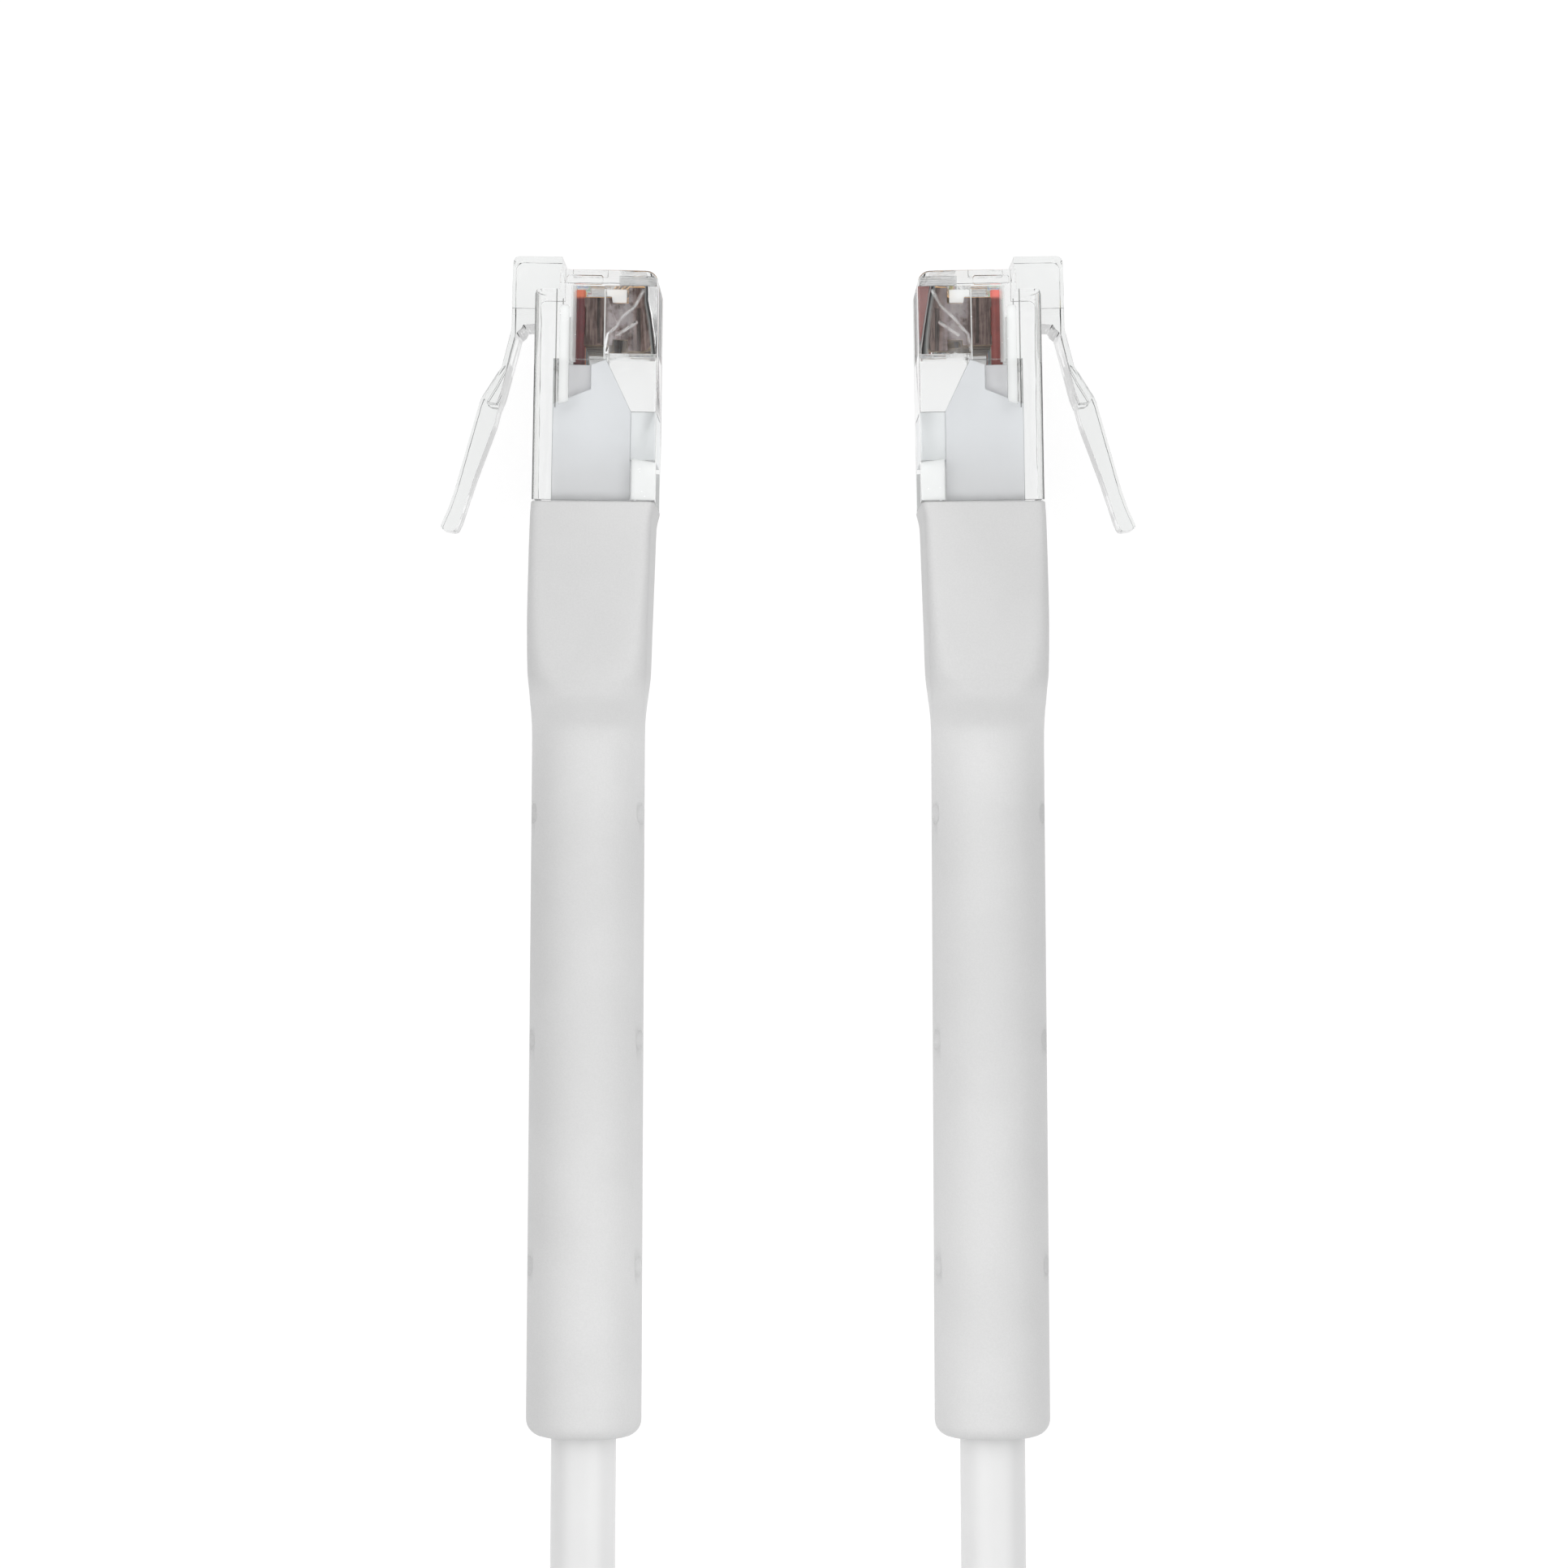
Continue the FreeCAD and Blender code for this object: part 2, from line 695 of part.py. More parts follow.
def boot(side, place, plug_place, jacket_outside):
    """The boot is lofted a little too wide and trimmed, so that both of its resting sides are level."""
    body = doc.addObject("PartDesign::Body", side + "_boot_form")
    width = "boot_width + 2 * side_trim"
    front = rounded_rectangle(
        body,
        "boot_front",
        "XZ_Plane",
        "-boot_length",
        ("plug_offset", "0"),
        ("boot_height", width),
        "boot_corner",
    )
    waist = rounded_rectangle(
        body,
        "boot_waist",
        "XZ_Plane",
        "boot_wide_length - boot_length",
        ("boot_waist_offset", "0"),
        ("boot_waist_height", width),
        "boot_waist_corner",
    )
    wide = body.newObject("PartDesign::AdditiveLoft", "wide_part")
    wide.Profile = front
    wide.Sections = [waist]
    wide.Ruled = True
    body.Tip = wide
    neck_level = "boot_wide_length + boot_shoulder - boot_length"
    waist_again = rounded_rectangle(
        body,
        "shoulder_top",
        "XZ_Plane",
        "boot_wide_length - boot_length",
        ("boot_waist_offset", "0"),
        ("boot_waist_height", width),
        "boot_waist_corner",
    )
    neck = circle(body, "shoulder_end", "0", "0", "boot_neck_diameter", "XZ_Plane", neck_level)
    shoulder = body.newObject("PartDesign::AdditiveLoft", "shoulder")
    shoulder.Profile = waist_again
    shoulder.Sections = [neck]
    body.Tip = shoulder
    sleeve_length = "boot_length - boot_wide_length - boot_shoulder"
    corners = [
        ("0", "0"),
        ("boot_tail_diameter / 2", "0"),
        ("boot_neck_diameter / 2", sleeve_length),
        ("0", sleeve_length),
    ]
    turned = body.newObject("PartDesign::Revolution", "sleeve")
    turned.Profile = outline(new_sketch(body, "sleeve_outline", "XY_Plane"), corners)
    turned.ReferenceAxis = (origin_part(body, "Y_Axis"), [""])
    turned.Angle = 360
    body.Tip = turned
    doc.recompute()
    rim = []
    for number, edge in enumerate(turned.Shape.Edges, 1):
        if edge.BoundBox.YMax < 1e-3 and edge.BoundBox.XMax > size("boot_tail_diameter") / 2 - 0.01:
            rim.append("Edge%d" % number)
    tail = body.newObject("PartDesign::Fillet", "tail_round")
    tail.Base = (turned, rim)
    tail.setExpression("Radius", formula("boot_tail_round"))
    body.Tip = tail
    dimples(body)
    body.Placement = place
    plug_space = plug_block(side + "_plug_space", plug_place, "rear_step", "plug_exposed", "plug_length")
    mouth_space = plug_block(side + "_mouth_space", plug_place, "0", "recess_front", "plug_exposed")
    level = doc.addObject("Part::Box", side + "_boot_level")
    level.setExpression("Length", formula("2 * boot_height"))
    level.setExpression("Width", formula("boot_length"))
    level.setExpression("Height", formula("boot_width"))
    level.Placement = place * Placement(Vector(-size("boot_height"), 0, -axis_height), Rotation())
    result = doc.addObject("Part::Common", side + "_trimmed_boot")
    result.Base = body
    result.Tool = level
    for index, tool in enumerate((plug_space, mouth_space, jacket_outside)):
        cut = doc.addObject("Part::Cut", "%s_boot_cut_%d" % (side, index))
        cut.Base = result
        cut.Tool = tool
        result = cut
    return keep(result, side + "_boot")


def dimples(body):
    """Shallow round grip pits in two rows on each flank of the sleeve."""
    floor = size("boot_neck_diameter") / 2 - size("dimple_depth")
    pits = []
    for index, angle in enumerate((size("dimple_angle"), 180 - size("dimple_angle"))):
        sketch = body.newObject("Sketcher::SketchObject", "pits_%d" % index)
        sketch.AttachmentSupport = [(origin_part(body, "YZ_Plane"), "")]
        sketch.MapMode = "FlatFace"
        turn = Rotation(Vector(1, 0, 0), angle)
        sketch.AttachmentOffset = Placement(turn.multVec(Vector(0, 0, floor)), turn)
        for place_along in range(DIMPLES):
            along = "dimple_first + %d * dimple_pitch" % place_along
            add_circle(sketch, along, "0", "dimple_diameter")
        pits.append(extrude(body, "Pocket", "pit_row_%d" % index, sketch, "2 * dimple_depth", False, True))
    pattern = body.newObject("PartDesign::PolarPattern", "pit_rows")
    pattern.Originals = pits
    pattern.Axis = (origin_part(body, "Y_Axis"), [""])
    pattern.Angle = 360
    pattern.Occurrences = 2
    body.Tip = pattern


def plug_block(name, place, inset, front, back):
    """The space of a stretch of the plug's outside, in the plug's frame."""
    block = doc.addObject("Part::Box", name)
    block.setExpression("Length", formula("plug_height - 2 * %s" % inset))
    block.setExpression("Width", formula("%s - %s" % (back, front)))
    block.setExpression("Height", formula("plug_width - 2 * %s" % inset))
    step = size(inset) if inset != "0" else 0.0
    corner = Vector(step - size("plug_height"), -size(back), step - size("plug_width") / 2)
    block.Placement = place * Placement(corner, Rotation())
    return block


# Free cable: two short runs and the coil between them, in the row's own frame
ROUTES = {
    "left": [Vector(-11.072, -38.9, 5.95), Vector(-13.4, -47.4, 4.2)],
    "right": [Vector(11.072, -38.9, 5.95), Vector(13.5, -47.6, 6.2)],
}
LAST_RUN = 6.6
SAMPLE_STEP = 0.8
coil_centre = Vector(0, -overall / 2 - size("coil_distance"), 0)
low_layer = size("tie_thickness") + size("tie_gap") + size("cable_diameter") / 2
high_layer = low_layer + size("coil_layer_rise")
entry_angle = math.radians(size("coil_entry_angle"))
whole_turn = 2 * math.pi
total_turn = COIL_TURNS * whole_turn + math.pi - 2 * entry_angle
middle_turn = total_turn / 2
step_turn = total_turn / COIL_STEPS
cable_radius = size("cable_diameter") / 2


def coil_point(turn):
    """The coil's middle line: in along the lower layer, up over two steps, out along the upper one."""
    away = abs(turn - middle_turn)
    radius = size("coil_inner_radius") + size("coil_pitch") * away / whole_turn
    angle = entry_angle + turn
    share = max(-1.0, min(1.0, (turn - middle_turn) / step_turn))
    height = low_layer + (high_layer - low_layer) * (1 + share) / 2
    return coil_centre + Vector(radius * math.cos(angle), radius * math.sin(angle), height)


def coil_way(turn):
    """The direction of travel at one of the coil's points."""
    angle = entry_angle + turn
    away = turn - middle_turn
    radius = size("coil_inner_radius") + size("coil_pitch") * abs(away) / whole_turn
    climbing = abs(away) < step_turn / 2
    outwards = 0.0 if climbing else math.copysign(size("coil_pitch") / whole_turn, away)
    rise = (high_layer - low_layer) / (2 * step_turn) if climbing else 0.0
    way = Vector(
        outwards * math.cos(angle) - radius * math.sin(angle),
        outwards * math.sin(angle) + radius * math.cos(angle),
        rise,
    )
    way.normalize()
    return way


def coil_edges():
    turns = [step_turn * index for index in range(COIL_STEPS + 1)]
    start = coil_point(turns[0])
    end = coil_point(turns[-1])
    stub = size("cable_diameter")
    edges = [Part.LineSegment(start - coil_way(turns[0]) * stub, start).toShape()]
    for here, there in zip(turns, turns[1:]):
        edges += biarc(coil_point(here), coil_way(here), coil_point(there), coil_way(there))
    edges.append(Part.LineSegment(end, end + coil_way(turns[-1]) * stub).toShape())
    return edges


def least_gap(edges, radius, reach):
    """The least space between stretches of one tube that lie further apart than reach along it."""
    points = []
    travelled = 0.0
    for edge in edges:
        count = int(edge.Length / SAMPLE_STEP) + 2
        for index in range(count):
            share = index / count
            spot = edge.valueAt(edge.FirstParameter + share * (edge.LastParameter - edge.FirstParameter))
            points.append((travelled + share * edge.Length, spot))
        travelled += edge.Length
    least = 1e9
    for index, (here, spot) in enumerate(points):
        for there, other in points[index + 1:]:
            if there - here > reach:
                least = min(least, (spot - other).Length)
    return least - 2 * radius


def cable():
    edges = coil_edges()
    coil = tube("coil_tube", edges, cable_radius)
    keep(coil, "cable_coil")
    coil_length = check_tube("cable_coil", coil, edges, cable_radius)
    half_turn = math.pi * size("coil_inner_radius")
    gap = least_gap(edges, cable_radius, half_turn)
    print("cable_coil: least gap %.2f mm" % gap)
    length = coil_length
    starts = {"left": coil_point(0) - coil_way(0) * size("cable_diameter")}
    starts["right"] = coil_point(total_turn) + coil_way(total_turn) * size("cable_diameter")
    for side in ("left", "right"):
        exit_point = boot_places[side].Base
        turn = 0 if side == "left" else total_turn
        way = coil_way(turn) * (-1 if side == "left" else 1)
        points = [exit_point] + ROUTES[side] + [starts[side] + way * LAST_RUN, starts[side]]
        edges, radii = rounded_route(points)
        run = tube(side + "_run_tube", edges, cable_radius)
        keep(run, "cable_run_" + side)
        length += check_tube("cable_run_" + side, run, edges, cable_radius)
        print("cable_run_%s radii: %s mm" % (side, ", ".join("%.1f" % radius for radius in radii)))
        print("cable_run_%s runs: %s mm" % (
            side,
            ", ".join("%.1f" % (b - a).Length for a, b in zip(points, points[1:])),
        ))
    print("free cable: %.1f mm" % length)


# Band that ties the coil at its far side
def tie():
    body = doc.addObject("PartDesign::Body", "tie_band")
    rings = int(middle_turn / whole_turn)
    centre = (
        "-(coil_inner_radius + %d * coil_pitch / 2)" % rings,
        "tie_thickness + tie_gap + (coil_layer_rise + cable_diameter) / 2",
    )
    inside = (
        "%d * coil_pitch + cable_diameter + 2 * tie_room" % rings,
        "coil_layer_rise + cable_diameter + 2 * tie_gap",
    )
    outside = ["%s + 2 * tie_thickness" % span for span in inside]
    outer = rounded_rectangle(body, "band_outside", "YZ_Plane", "0", centre, outside, "tie_corner")
    extrude(body, "Pad", "band", outer, "tie_width")
    corner = "tie_corner - tie_thickness"
    inner = rounded_rectangle(body, "band_inside", "YZ_Plane", "0", centre, inside, corner)
    extrude(body, "Pocket", "opening", inner, "tie_width")
    body.Placement = Placement(coil_centre, Rotation())
    return keep(body, "coil_tie")


def build_end(side):
    place = boot_places[side]
    plug_place = place * plug_in_boot
    shell = housing(side, plug_place)
    latch(side, plug_place)
    blades = [contact(side, number, plug_place) for number in range(1, CONTACTS + 1)]
    ways = wires(side, place, blades)
    comb = load_bar(side, plug_place, ways)
    sleeve, jacket_outside = jacket(side, place)
    filling(side, plug_place, [shell, ways, jacket_outside])
    boot(side, place, plug_place, jacket_outside)


for side in ("left", "right"):
    build_end(side)
cable()
tie()
doc.recompute()

# Every object has to be sound before anything is written
faults = []
for item in doc.Objects:
    if "Invalid" in item.State or "Error" in item.State:
        faults.append("%s: %s" % (item.Label, ", ".join(item.State)))
for node in nodes:
    if node.Shape.isNull() or not node.Shape.isValid():
        faults.append("%s: no valid shape" % node.Label)
if faults:
    raise RuntimeError("; ".join(faults))

os.makedirs("parts", exist_ok=True)
for node in nodes:
    node.Shape.exportStep("parts/%s.step" % node.Label)
    print("%s: %d solids, %.2f mm3" % (node.Label, len(node.Shape.Solids), node.Shape.Volume))
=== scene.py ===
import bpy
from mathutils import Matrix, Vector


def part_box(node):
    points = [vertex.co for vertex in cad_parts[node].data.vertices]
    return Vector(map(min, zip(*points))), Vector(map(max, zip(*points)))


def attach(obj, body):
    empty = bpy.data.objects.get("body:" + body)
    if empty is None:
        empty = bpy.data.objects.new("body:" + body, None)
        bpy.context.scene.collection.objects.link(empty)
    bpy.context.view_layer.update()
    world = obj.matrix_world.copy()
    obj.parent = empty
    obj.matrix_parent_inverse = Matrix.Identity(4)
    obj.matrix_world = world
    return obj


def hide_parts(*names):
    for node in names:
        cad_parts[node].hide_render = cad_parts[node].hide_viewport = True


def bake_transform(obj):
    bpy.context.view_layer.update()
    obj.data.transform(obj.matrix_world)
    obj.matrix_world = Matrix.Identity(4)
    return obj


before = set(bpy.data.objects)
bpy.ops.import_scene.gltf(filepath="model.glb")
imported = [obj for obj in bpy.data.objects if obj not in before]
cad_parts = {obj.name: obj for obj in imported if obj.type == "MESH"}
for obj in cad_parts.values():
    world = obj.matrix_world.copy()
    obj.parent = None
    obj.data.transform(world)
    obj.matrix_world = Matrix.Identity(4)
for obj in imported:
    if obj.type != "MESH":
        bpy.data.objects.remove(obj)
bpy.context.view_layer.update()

import math

import bmesh
import bpy
from bpy.props import FloatProperty, FloatVectorProperty, IntProperty, PointerProperty
from mathutils import Matrix, Vector

bl_info = {
    "name": "Ethernet patch cable",
    "version": (1, 0),
    "blender": (4, 5, 0),
    "location": "3D View > Sidebar > Patch cable",
    "description": "Dresses the two clear plugs, their boots and the tied cable of a patch cable",
    "category": "Object",
}

MM = 0.001
SIDES = ("left", "right")
CONTACTS = 8


def length_of(label, description, millimetres):
    """A length setting, shown in the scene's own unit."""
    return FloatProperty(
        name=label, description=description, default=millimetres * MM, unit="LENGTH", precision=5,
    )


def angle_of(label, description, degrees):
    return FloatProperty(
        name=label, description=description, default=math.radians(degrees), subtype="ANGLE",
    )


def colour_of(label, description, value):
    return FloatVectorProperty(
        name=label, description=description, default=value, subtype="COLOR", min=0, max=1,
    )


def share_of(label, description, value):
    return FloatProperty(name=label, description=description, default=value, min=0, max=4)


class EndSettings(bpy.types.PropertyGroup):
    """Where the two ends lie and how their plugs sit in them."""
    spacing: length_of("Spacing", "Distance between the cable exits of the two boots", 22.04)
    tail: length_of("Tail", "How far the boots' tails lie behind the row's origin", 31.595)
    axis_height: length_of("Axis height", "Height of the boots' axes above the floor", 5.95)
    lean: angle_of("Lean", "How far each end turns towards the other", 0.41)
    plug_lean: angle_of("Plug lean", "How far the plug turns in its boot", 0.62)
    plug_offset: length_of("Plug offset", "Shift of the plug's middle from the boot's axis", 0.36)
    plug_height: length_of("Plug height", "From the contact face to the latch face", 6.5)
    plug_width: length_of("Plug width", "Across the eight contacts", 11.68)
    exposed: length_of("Exposed length", "From the plug's nose to the boot", 12.2)


class BootSettings(bpy.types.PropertyGroup):
    """The long moulded boot."""
    length: length_of("Length", "From the tail to the mouth", 50.04)
    half_width: length_of("Half width", "Half of the wide part across the contacts", 5.95)
    neck_radius: length_of("Neck radius", "The round sleeve at the shoulder", 3.04)
    tail_radius: length_of("Tail radius", "The round sleeve at the cable's exit", 3.11)
    tail_round: length_of("Tail round", "Rounding of the tail's rim", 0.9)
    pocket: length_of("Pocket", "Depth of the plug's seat behind the mouth", 8.5)
    wall_step: length_of("Step", "How far the seat is inset from the plug's outside", 0.49)
    pit_radius: length_of("Pit radius", "The round grip pits", 0.56)
    pit_depth: length_of("Pit depth", "The round grip pits", 0.36)
    pit_first: length_of("First pit", "Middle of the first pit from the tail", 9.2)
    pit_pitch: length_of("Pit pitch", "From one pit to the next along the sleeve", 12.15)
    pit_angle: angle_of("Pit angle", "Turn of the pits from the flanks", 18.0)
    sides: IntProperty(name="Sides", description="Points round each ring of the boot", default=160)
    colour: colour_of("Colour", "Light grey soft vinyl at the mouth", (0.585, 0.585, 0.585))
    # Painted light: the tail colour is the same vinyl, painted lighter
    tail_painted_light_colour: colour_of("Tail colour", "The same vinyl towards the tail", (0.635, 0.635, 0.635))
    # Painted light: the neck colour is the same vinyl, painted paler on the neck's slope
    neck_painted_light_colour: colour_of("Neck colour", "The same vinyl on the slope of the neck", (0.66, 0.66, 0.66))


class CableSettings(bpy.types.PropertyGroup):
    """The free cable and its coil."""
    diameter: length_of("Diameter", "Outside of the round jacket", 3.5)
    length: length_of("Length", "Free cable from one boot to the other", 873.6)
    inner_radius: length_of("Inner radius", "The coil's innermost middle line", 12.54)
    pitch: length_of("Pitch", "From one turn to the next", 3.95)
    rise: length_of("Rise", "From the lower layer to the upper one", 3.95)
    low_layer: length_of("Low layer", "Height of the lower layer's middle line", 2.45)
    distance: length_of("Distance", "From the boots' tails to the coil's middle", 46.4)
    entry: angle_of("Entry", "Where the cable meets the coil", 150.0)
    turns: IntProperty(name="Turns", description="Whole turns between the two entries", default=7)
    points: IntProperty(name="Points", description="Control points of the coil", default=107)
    colour: colour_of("Colour", "White soft vinyl", (0.695, 0.695, 0.695))


class TieSettings(bpy.types.PropertyGroup):
    """The strap that holds the coil."""
    width: length_of("Width", "Along the cable", 6.0)
    layer: length_of("Layer", "Thickness of one layer of the strap", 0.28)
    overlap: length_of("Overlap", "How far the strap passes its own start", 17.0)
    corner: length_of("Corner", "Outer rounding of the strap's bends", 2.2)
    colour: colour_of("Colour", "White woven strap", (0.80, 0.80, 0.79))


class ClearSettings(bpy.types.PropertyGroup):
    """The clear plugs and what shows through them."""
    edge: length_of("Edge", "Rounding of the clear moulding's edges", 0.022)
    latch_edge: length_of("Latch side edge", "Rounding of the upper long edge beside the latch", 0.36)
    contact_edge: length_of("Contact side edge", "Rounding of the long edges beside the contacts", 0.09)
    lever_edge: length_of("Lever edge", "Rounding of the lever's edges", 0.028)
    blade_edge: length_of("Blade edge", "Rounding of the punched contacts", 0.045)
    shrink: length_of("Shrink", "Air between the filling and the clear walls", 0.02)
    hinge_height: length_of("Hinge height", "From the contact face to the latch's web", 7.57)
    hinge_behind: length_of("Hinge place", "From the nose to the latch's web", 2.95)
    lever_angle: angle_of("Lever angle", "How far the latch lever stands off", 14.0)
    root_width: length_of("Root width", "The latch root and its catches", 6.0)
    lever_width: length_of("Lever width", "The lever's narrow part", 3.25)
    wall: colour_of("Wall", "Tint of the plug's clear walls", (0.955, 0.962, 0.960))
    thick: colour_of("Thick", "Tint of the latch and its root", (0.895, 0.905, 0.900))
    # Painted dark reflection: the rim tint darkens the outer share of the rounding beside the latch, and the
    # low rim tint darkens its inner half, less
    rim: colour_of("Rim", "Tint of the upper long edge beside the latch", (0.14, 0.145, 0.14))
    low_rim_painted_shade: colour_of("Low rim", "Tint of the rounding's inner half", (0.76, 0.77, 0.76))
    # Painted shade: the ribs' tint darkens the ribs between the contacts
    ribs: colour_of("Ribs", "Tint of the ribs between the contacts", (0.38, 0.37, 0.38))
    pale: colour_of("Pale", "Frosted recesses and mould lines in the walls", (0.91, 0.925, 0.92))
    filling: colour_of("Filling", "Milky filling behind the contacts", (0.775, 0.79, 0.81))
    deep_filling: colour_of("Deep filling", "The filling close to the boot", (0.655, 0.66, 0.67))
    pad: colour_of("Pad", "The filling's pad in the clamp's recess", (0.86, 0.88, 0.89))
    comb: colour_of("Comb", "Milky bar that keeps the wires in line", (0.72, 0.72, 0.735))


class StudioSettings(bpy.types.PropertyGroup):
    """The table, the light and the camera."""
    distance: length_of("Distance", "From the camera to the boots' axes", 280.0)
    forward: length_of("Forward", "How far the camera stands ahead of the origin", 3.5)
    view_width: length_of("View width", "What the picture takes in at the boots' axes", 84.51)
    floor_size: length_of("Floor size", "Side of the square table", 3000.0)
    shift: FloatProperty(name="Shift", description="Sideways shift of the picture", default=-5 / 1932)
    ring: share_of("Ring", "Brightness of the soft light that stands round the camera", 1.5)
    zenith: share_of("Zenith", "Brightness straight overhead, where the camera stands", 0.35)
    horizon: share_of("Horizon", "Brightness at the table's rim", 0.04)
    glow: share_of("Glow", "Light of the table itself", 0.86)
    lamp_height: length_of("Lamp height", "The narrow soft lamp over the gap between the ends", 22.0)
    lamp_forward: length_of("Lamp place", "The lamp's middle ahead of the origin", -5.0)
    lamp_width: length_of("Lamp width", "Across the ends", 6.0)
    lamp_length: length_of("Lamp length", "Along the ends", 110.0)
    lamp_power: FloatProperty(name="Lamp power", description="In watts", default=0.0021, min=0, precision=5)


class PatchCableSettings(bpy.types.PropertyGroup):
    """All the settings of the patch cable."""
    ends: PointerProperty(type=EndSettings)
    boot: PointerProperty(type=BootSettings)
    cable: PointerProperty(type=CableSettings)
    tie: PointerProperty(type=TieSettings)
    clear: PointerProperty(type=ClearSettings)
    studio: PointerProperty(type=StudioSettings)


def settings():
    return bpy.context.scene.patch_cable


# Shader expressions
class Value:
    """A node's output that takes part in Python expressions."""

    def __init__(self, recipe, socket):
        self.recipe = recipe
        self.socket = socket

    def calculate(self, operation, *values):
        return self.recipe.add("ShaderNodeMath", {"operation": operation}, dict(enumerate(values)))

    def __add__(self, other):
        return self.calculate("ADD", self, other)

    def __sub__(self, other):
        return self.calculate("SUBTRACT", self, other)

    def __rsub__(self, other):
        return self.calculate("SUBTRACT", other, self)

    def __mul__(self, other):
        return self.calculate("MULTIPLY", self, other)

    def __gt__(self, other):
        return self.calculate("GREATER_THAN", self, other)

    def __lt__(self, other):
        return self.calculate("LESS_THAN", self, other)

    __radd__ = __add__
    __rmul__ = __mul__

    def size(self):
        return self.calculate("ABSOLUTE", self)

    def larger(self, other):
        return self.calculate("MAXIMUM", self, other)

    def within(self, low, high):
        """Runs smoothly from 0 at low to 1 at high."""
        inputs = {"Value": self, "From Min": low, "From Max": high}
        return self.recipe.add("ShaderNodeMapRange", {"interpolation_type": "SMOOTHSTEP"}, inputs)


FINE_GRAIN = 5200
# Places of the Mix node's colour sockets
MIX_FACTOR = 0
MIX_FIRST = 6
MIX_SECOND = 7
MIX_COLOUR = 2


class Recipe:
    """The nodes of one material, or of the world."""

    def __init__(self, name, holder=None):
        self.holder = holder or bpy.data.materials.new(name)
        self.holder.use_nodes = True
        self.tree = self.holder.node_tree
        self.tree.nodes.clear()

    def add(self, kind, choices=None, inputs=None, output=0):
        """Make one node: its choices first, then the values or links of its sockets."""
        node = self.tree.nodes.new(kind)
        for key, choice in (choices or {}).items():
            setattr(node, key, choice)
        for key, given in (inputs or {}).items():
            if isinstance(given, Value):
                self.tree.links.new(given.socket, node.inputs[key])
            else:
                node.inputs[key].default_value = given
        return Value(self, node.outputs[output]) if len(node.outputs) else node

    def place(self, scale=(1, 1, 1)):
        """Object coordinates, scaled."""
        spot = self.add("ShaderNodeTexCoord", output="Object")
        return self.add("ShaderNodeMapping", None, {"Vector": spot, "Scale": scale})

    def noise(self, vector, scale, detail=2.0, roughness=0.5):
        inputs = {"Vector": vector, "Scale": scale, "Detail": detail, "Roughness": roughness}
        return self.add("ShaderNodeTexNoise", None, inputs)

    def fine_grain(self):
        """The finest unevenness of a moulding."""
        return self.noise(self.place(), FINE_GRAIN)

    def part(self, vector, axis):
        """One of the three numbers of a vector."""
        return self.add("ShaderNodeSeparateXYZ", None, {"Vector": vector}, output=axis)

    def mix(self, factor, first, second):
        """Mix two colours."""
        inputs = {MIX_FACTOR: factor, MIX_FIRST: first, MIX_SECOND: second}
        return self.add("ShaderNodeMix", {"data_type": "RGBA"}, inputs, output=MIX_COLOUR)

    def mix_shaders(self, share, first, second):
        return self.add("ShaderNodeMixShader", None, dict(enumerate((share, first, second))))

    def bump(self, height, strength, distance, normal=None):
        inputs = {"Height": height, "Strength": strength, "Distance": distance}
        if normal:
            inputs["Normal"] = normal
        return self.add("ShaderNodeBump", None, inputs)

    def shader(self, **inputs):
        """A Principled shader. Names of sockets are written with underscores."""
        named = {key.replace("_", " "): given for key, given in inputs.items()}
        return self.add("ShaderNodeBsdfPrincipled", None, named)

    def surface(self, **inputs):
        """End the recipe in a Principled shader."""
        return self.finish(self.shader(**inputs))

    def finish(self, shader, output="ShaderNodeOutputMaterial"):
        self.add(output, None, {"Surface": shader})
        return self.holder


def opaque(colour):
    return (*colour, 1.0)


def darker(colour, share):
    return tuple(part * share for part in colour)


# Materials
BLACK = (0, 0, 0, 1)
WHITE = (1, 1, 1, 1)
VINYL_GRAIN = 11000
VINYL_MOTTLE = 160
VINYL_BUMP = 0.00002
FINE_BUMP = 0.00001
# Between these places along the boots the vinyl turns from its tail colour to its colour at the mouth:
# painted light, which makes the tail lighter
BOOT_PAINTED_LIGHT = (-0.032, 0.016)
# Painted light on the neck's slope makes the vinyl paler there: it comes up between the first two and goes
# out between the others
NECK_BEHIND = (0.0, 0.0066)
NECK_AHEAD = (0.0096, 0.0078)


def boot_vinyl():
    """Fine-grained matt vinyl with a faint cloudiness, and painted light that makes it lighter towards the
    tail and on the neck's slope.
    """
    made = Recipe("boot_vinyl")
    spot = made.place()
    boot = settings().boot
    grain = made.noise(spot, VINYL_GRAIN, 3.0, 0.6)
    cloud = made.noise(spot, VINYL_MOTTLE, 3.0, 0.55)
    along = made.part(spot, "Y")
    # Painted light: the vinyl is painted lighter towards the tail
    painted_light_tone = made.mix(along.within(*BOOT_PAINTED_LIGHT), opaque(boot.tail_painted_light_colour), opaque(boot.colour))
    # Painted light: the neck's slope is painted paler
    neck = along.within(*NECK_BEHIND) * along.within(*NECK_AHEAD)
    base = made.mix(neck, painted_light_tone, opaque(boot.neck_painted_light_colour))
    tone = made.mix(cloud.within(0.35, 0.65) * 0.035, base, BLACK)
    speckled = made.mix(grain.within(0.3, 0.7) * 0.042, tone, BLACK)
    return made.surface(
        Base_Color=speckled,
        Roughness=grain * 0.15 + 0.55,
        Specular_IOR_Level=0.35,
        Normal=made.bump(grain, 0.5, VINYL_BUMP),
    )


JACKET_MOTTLE = 300


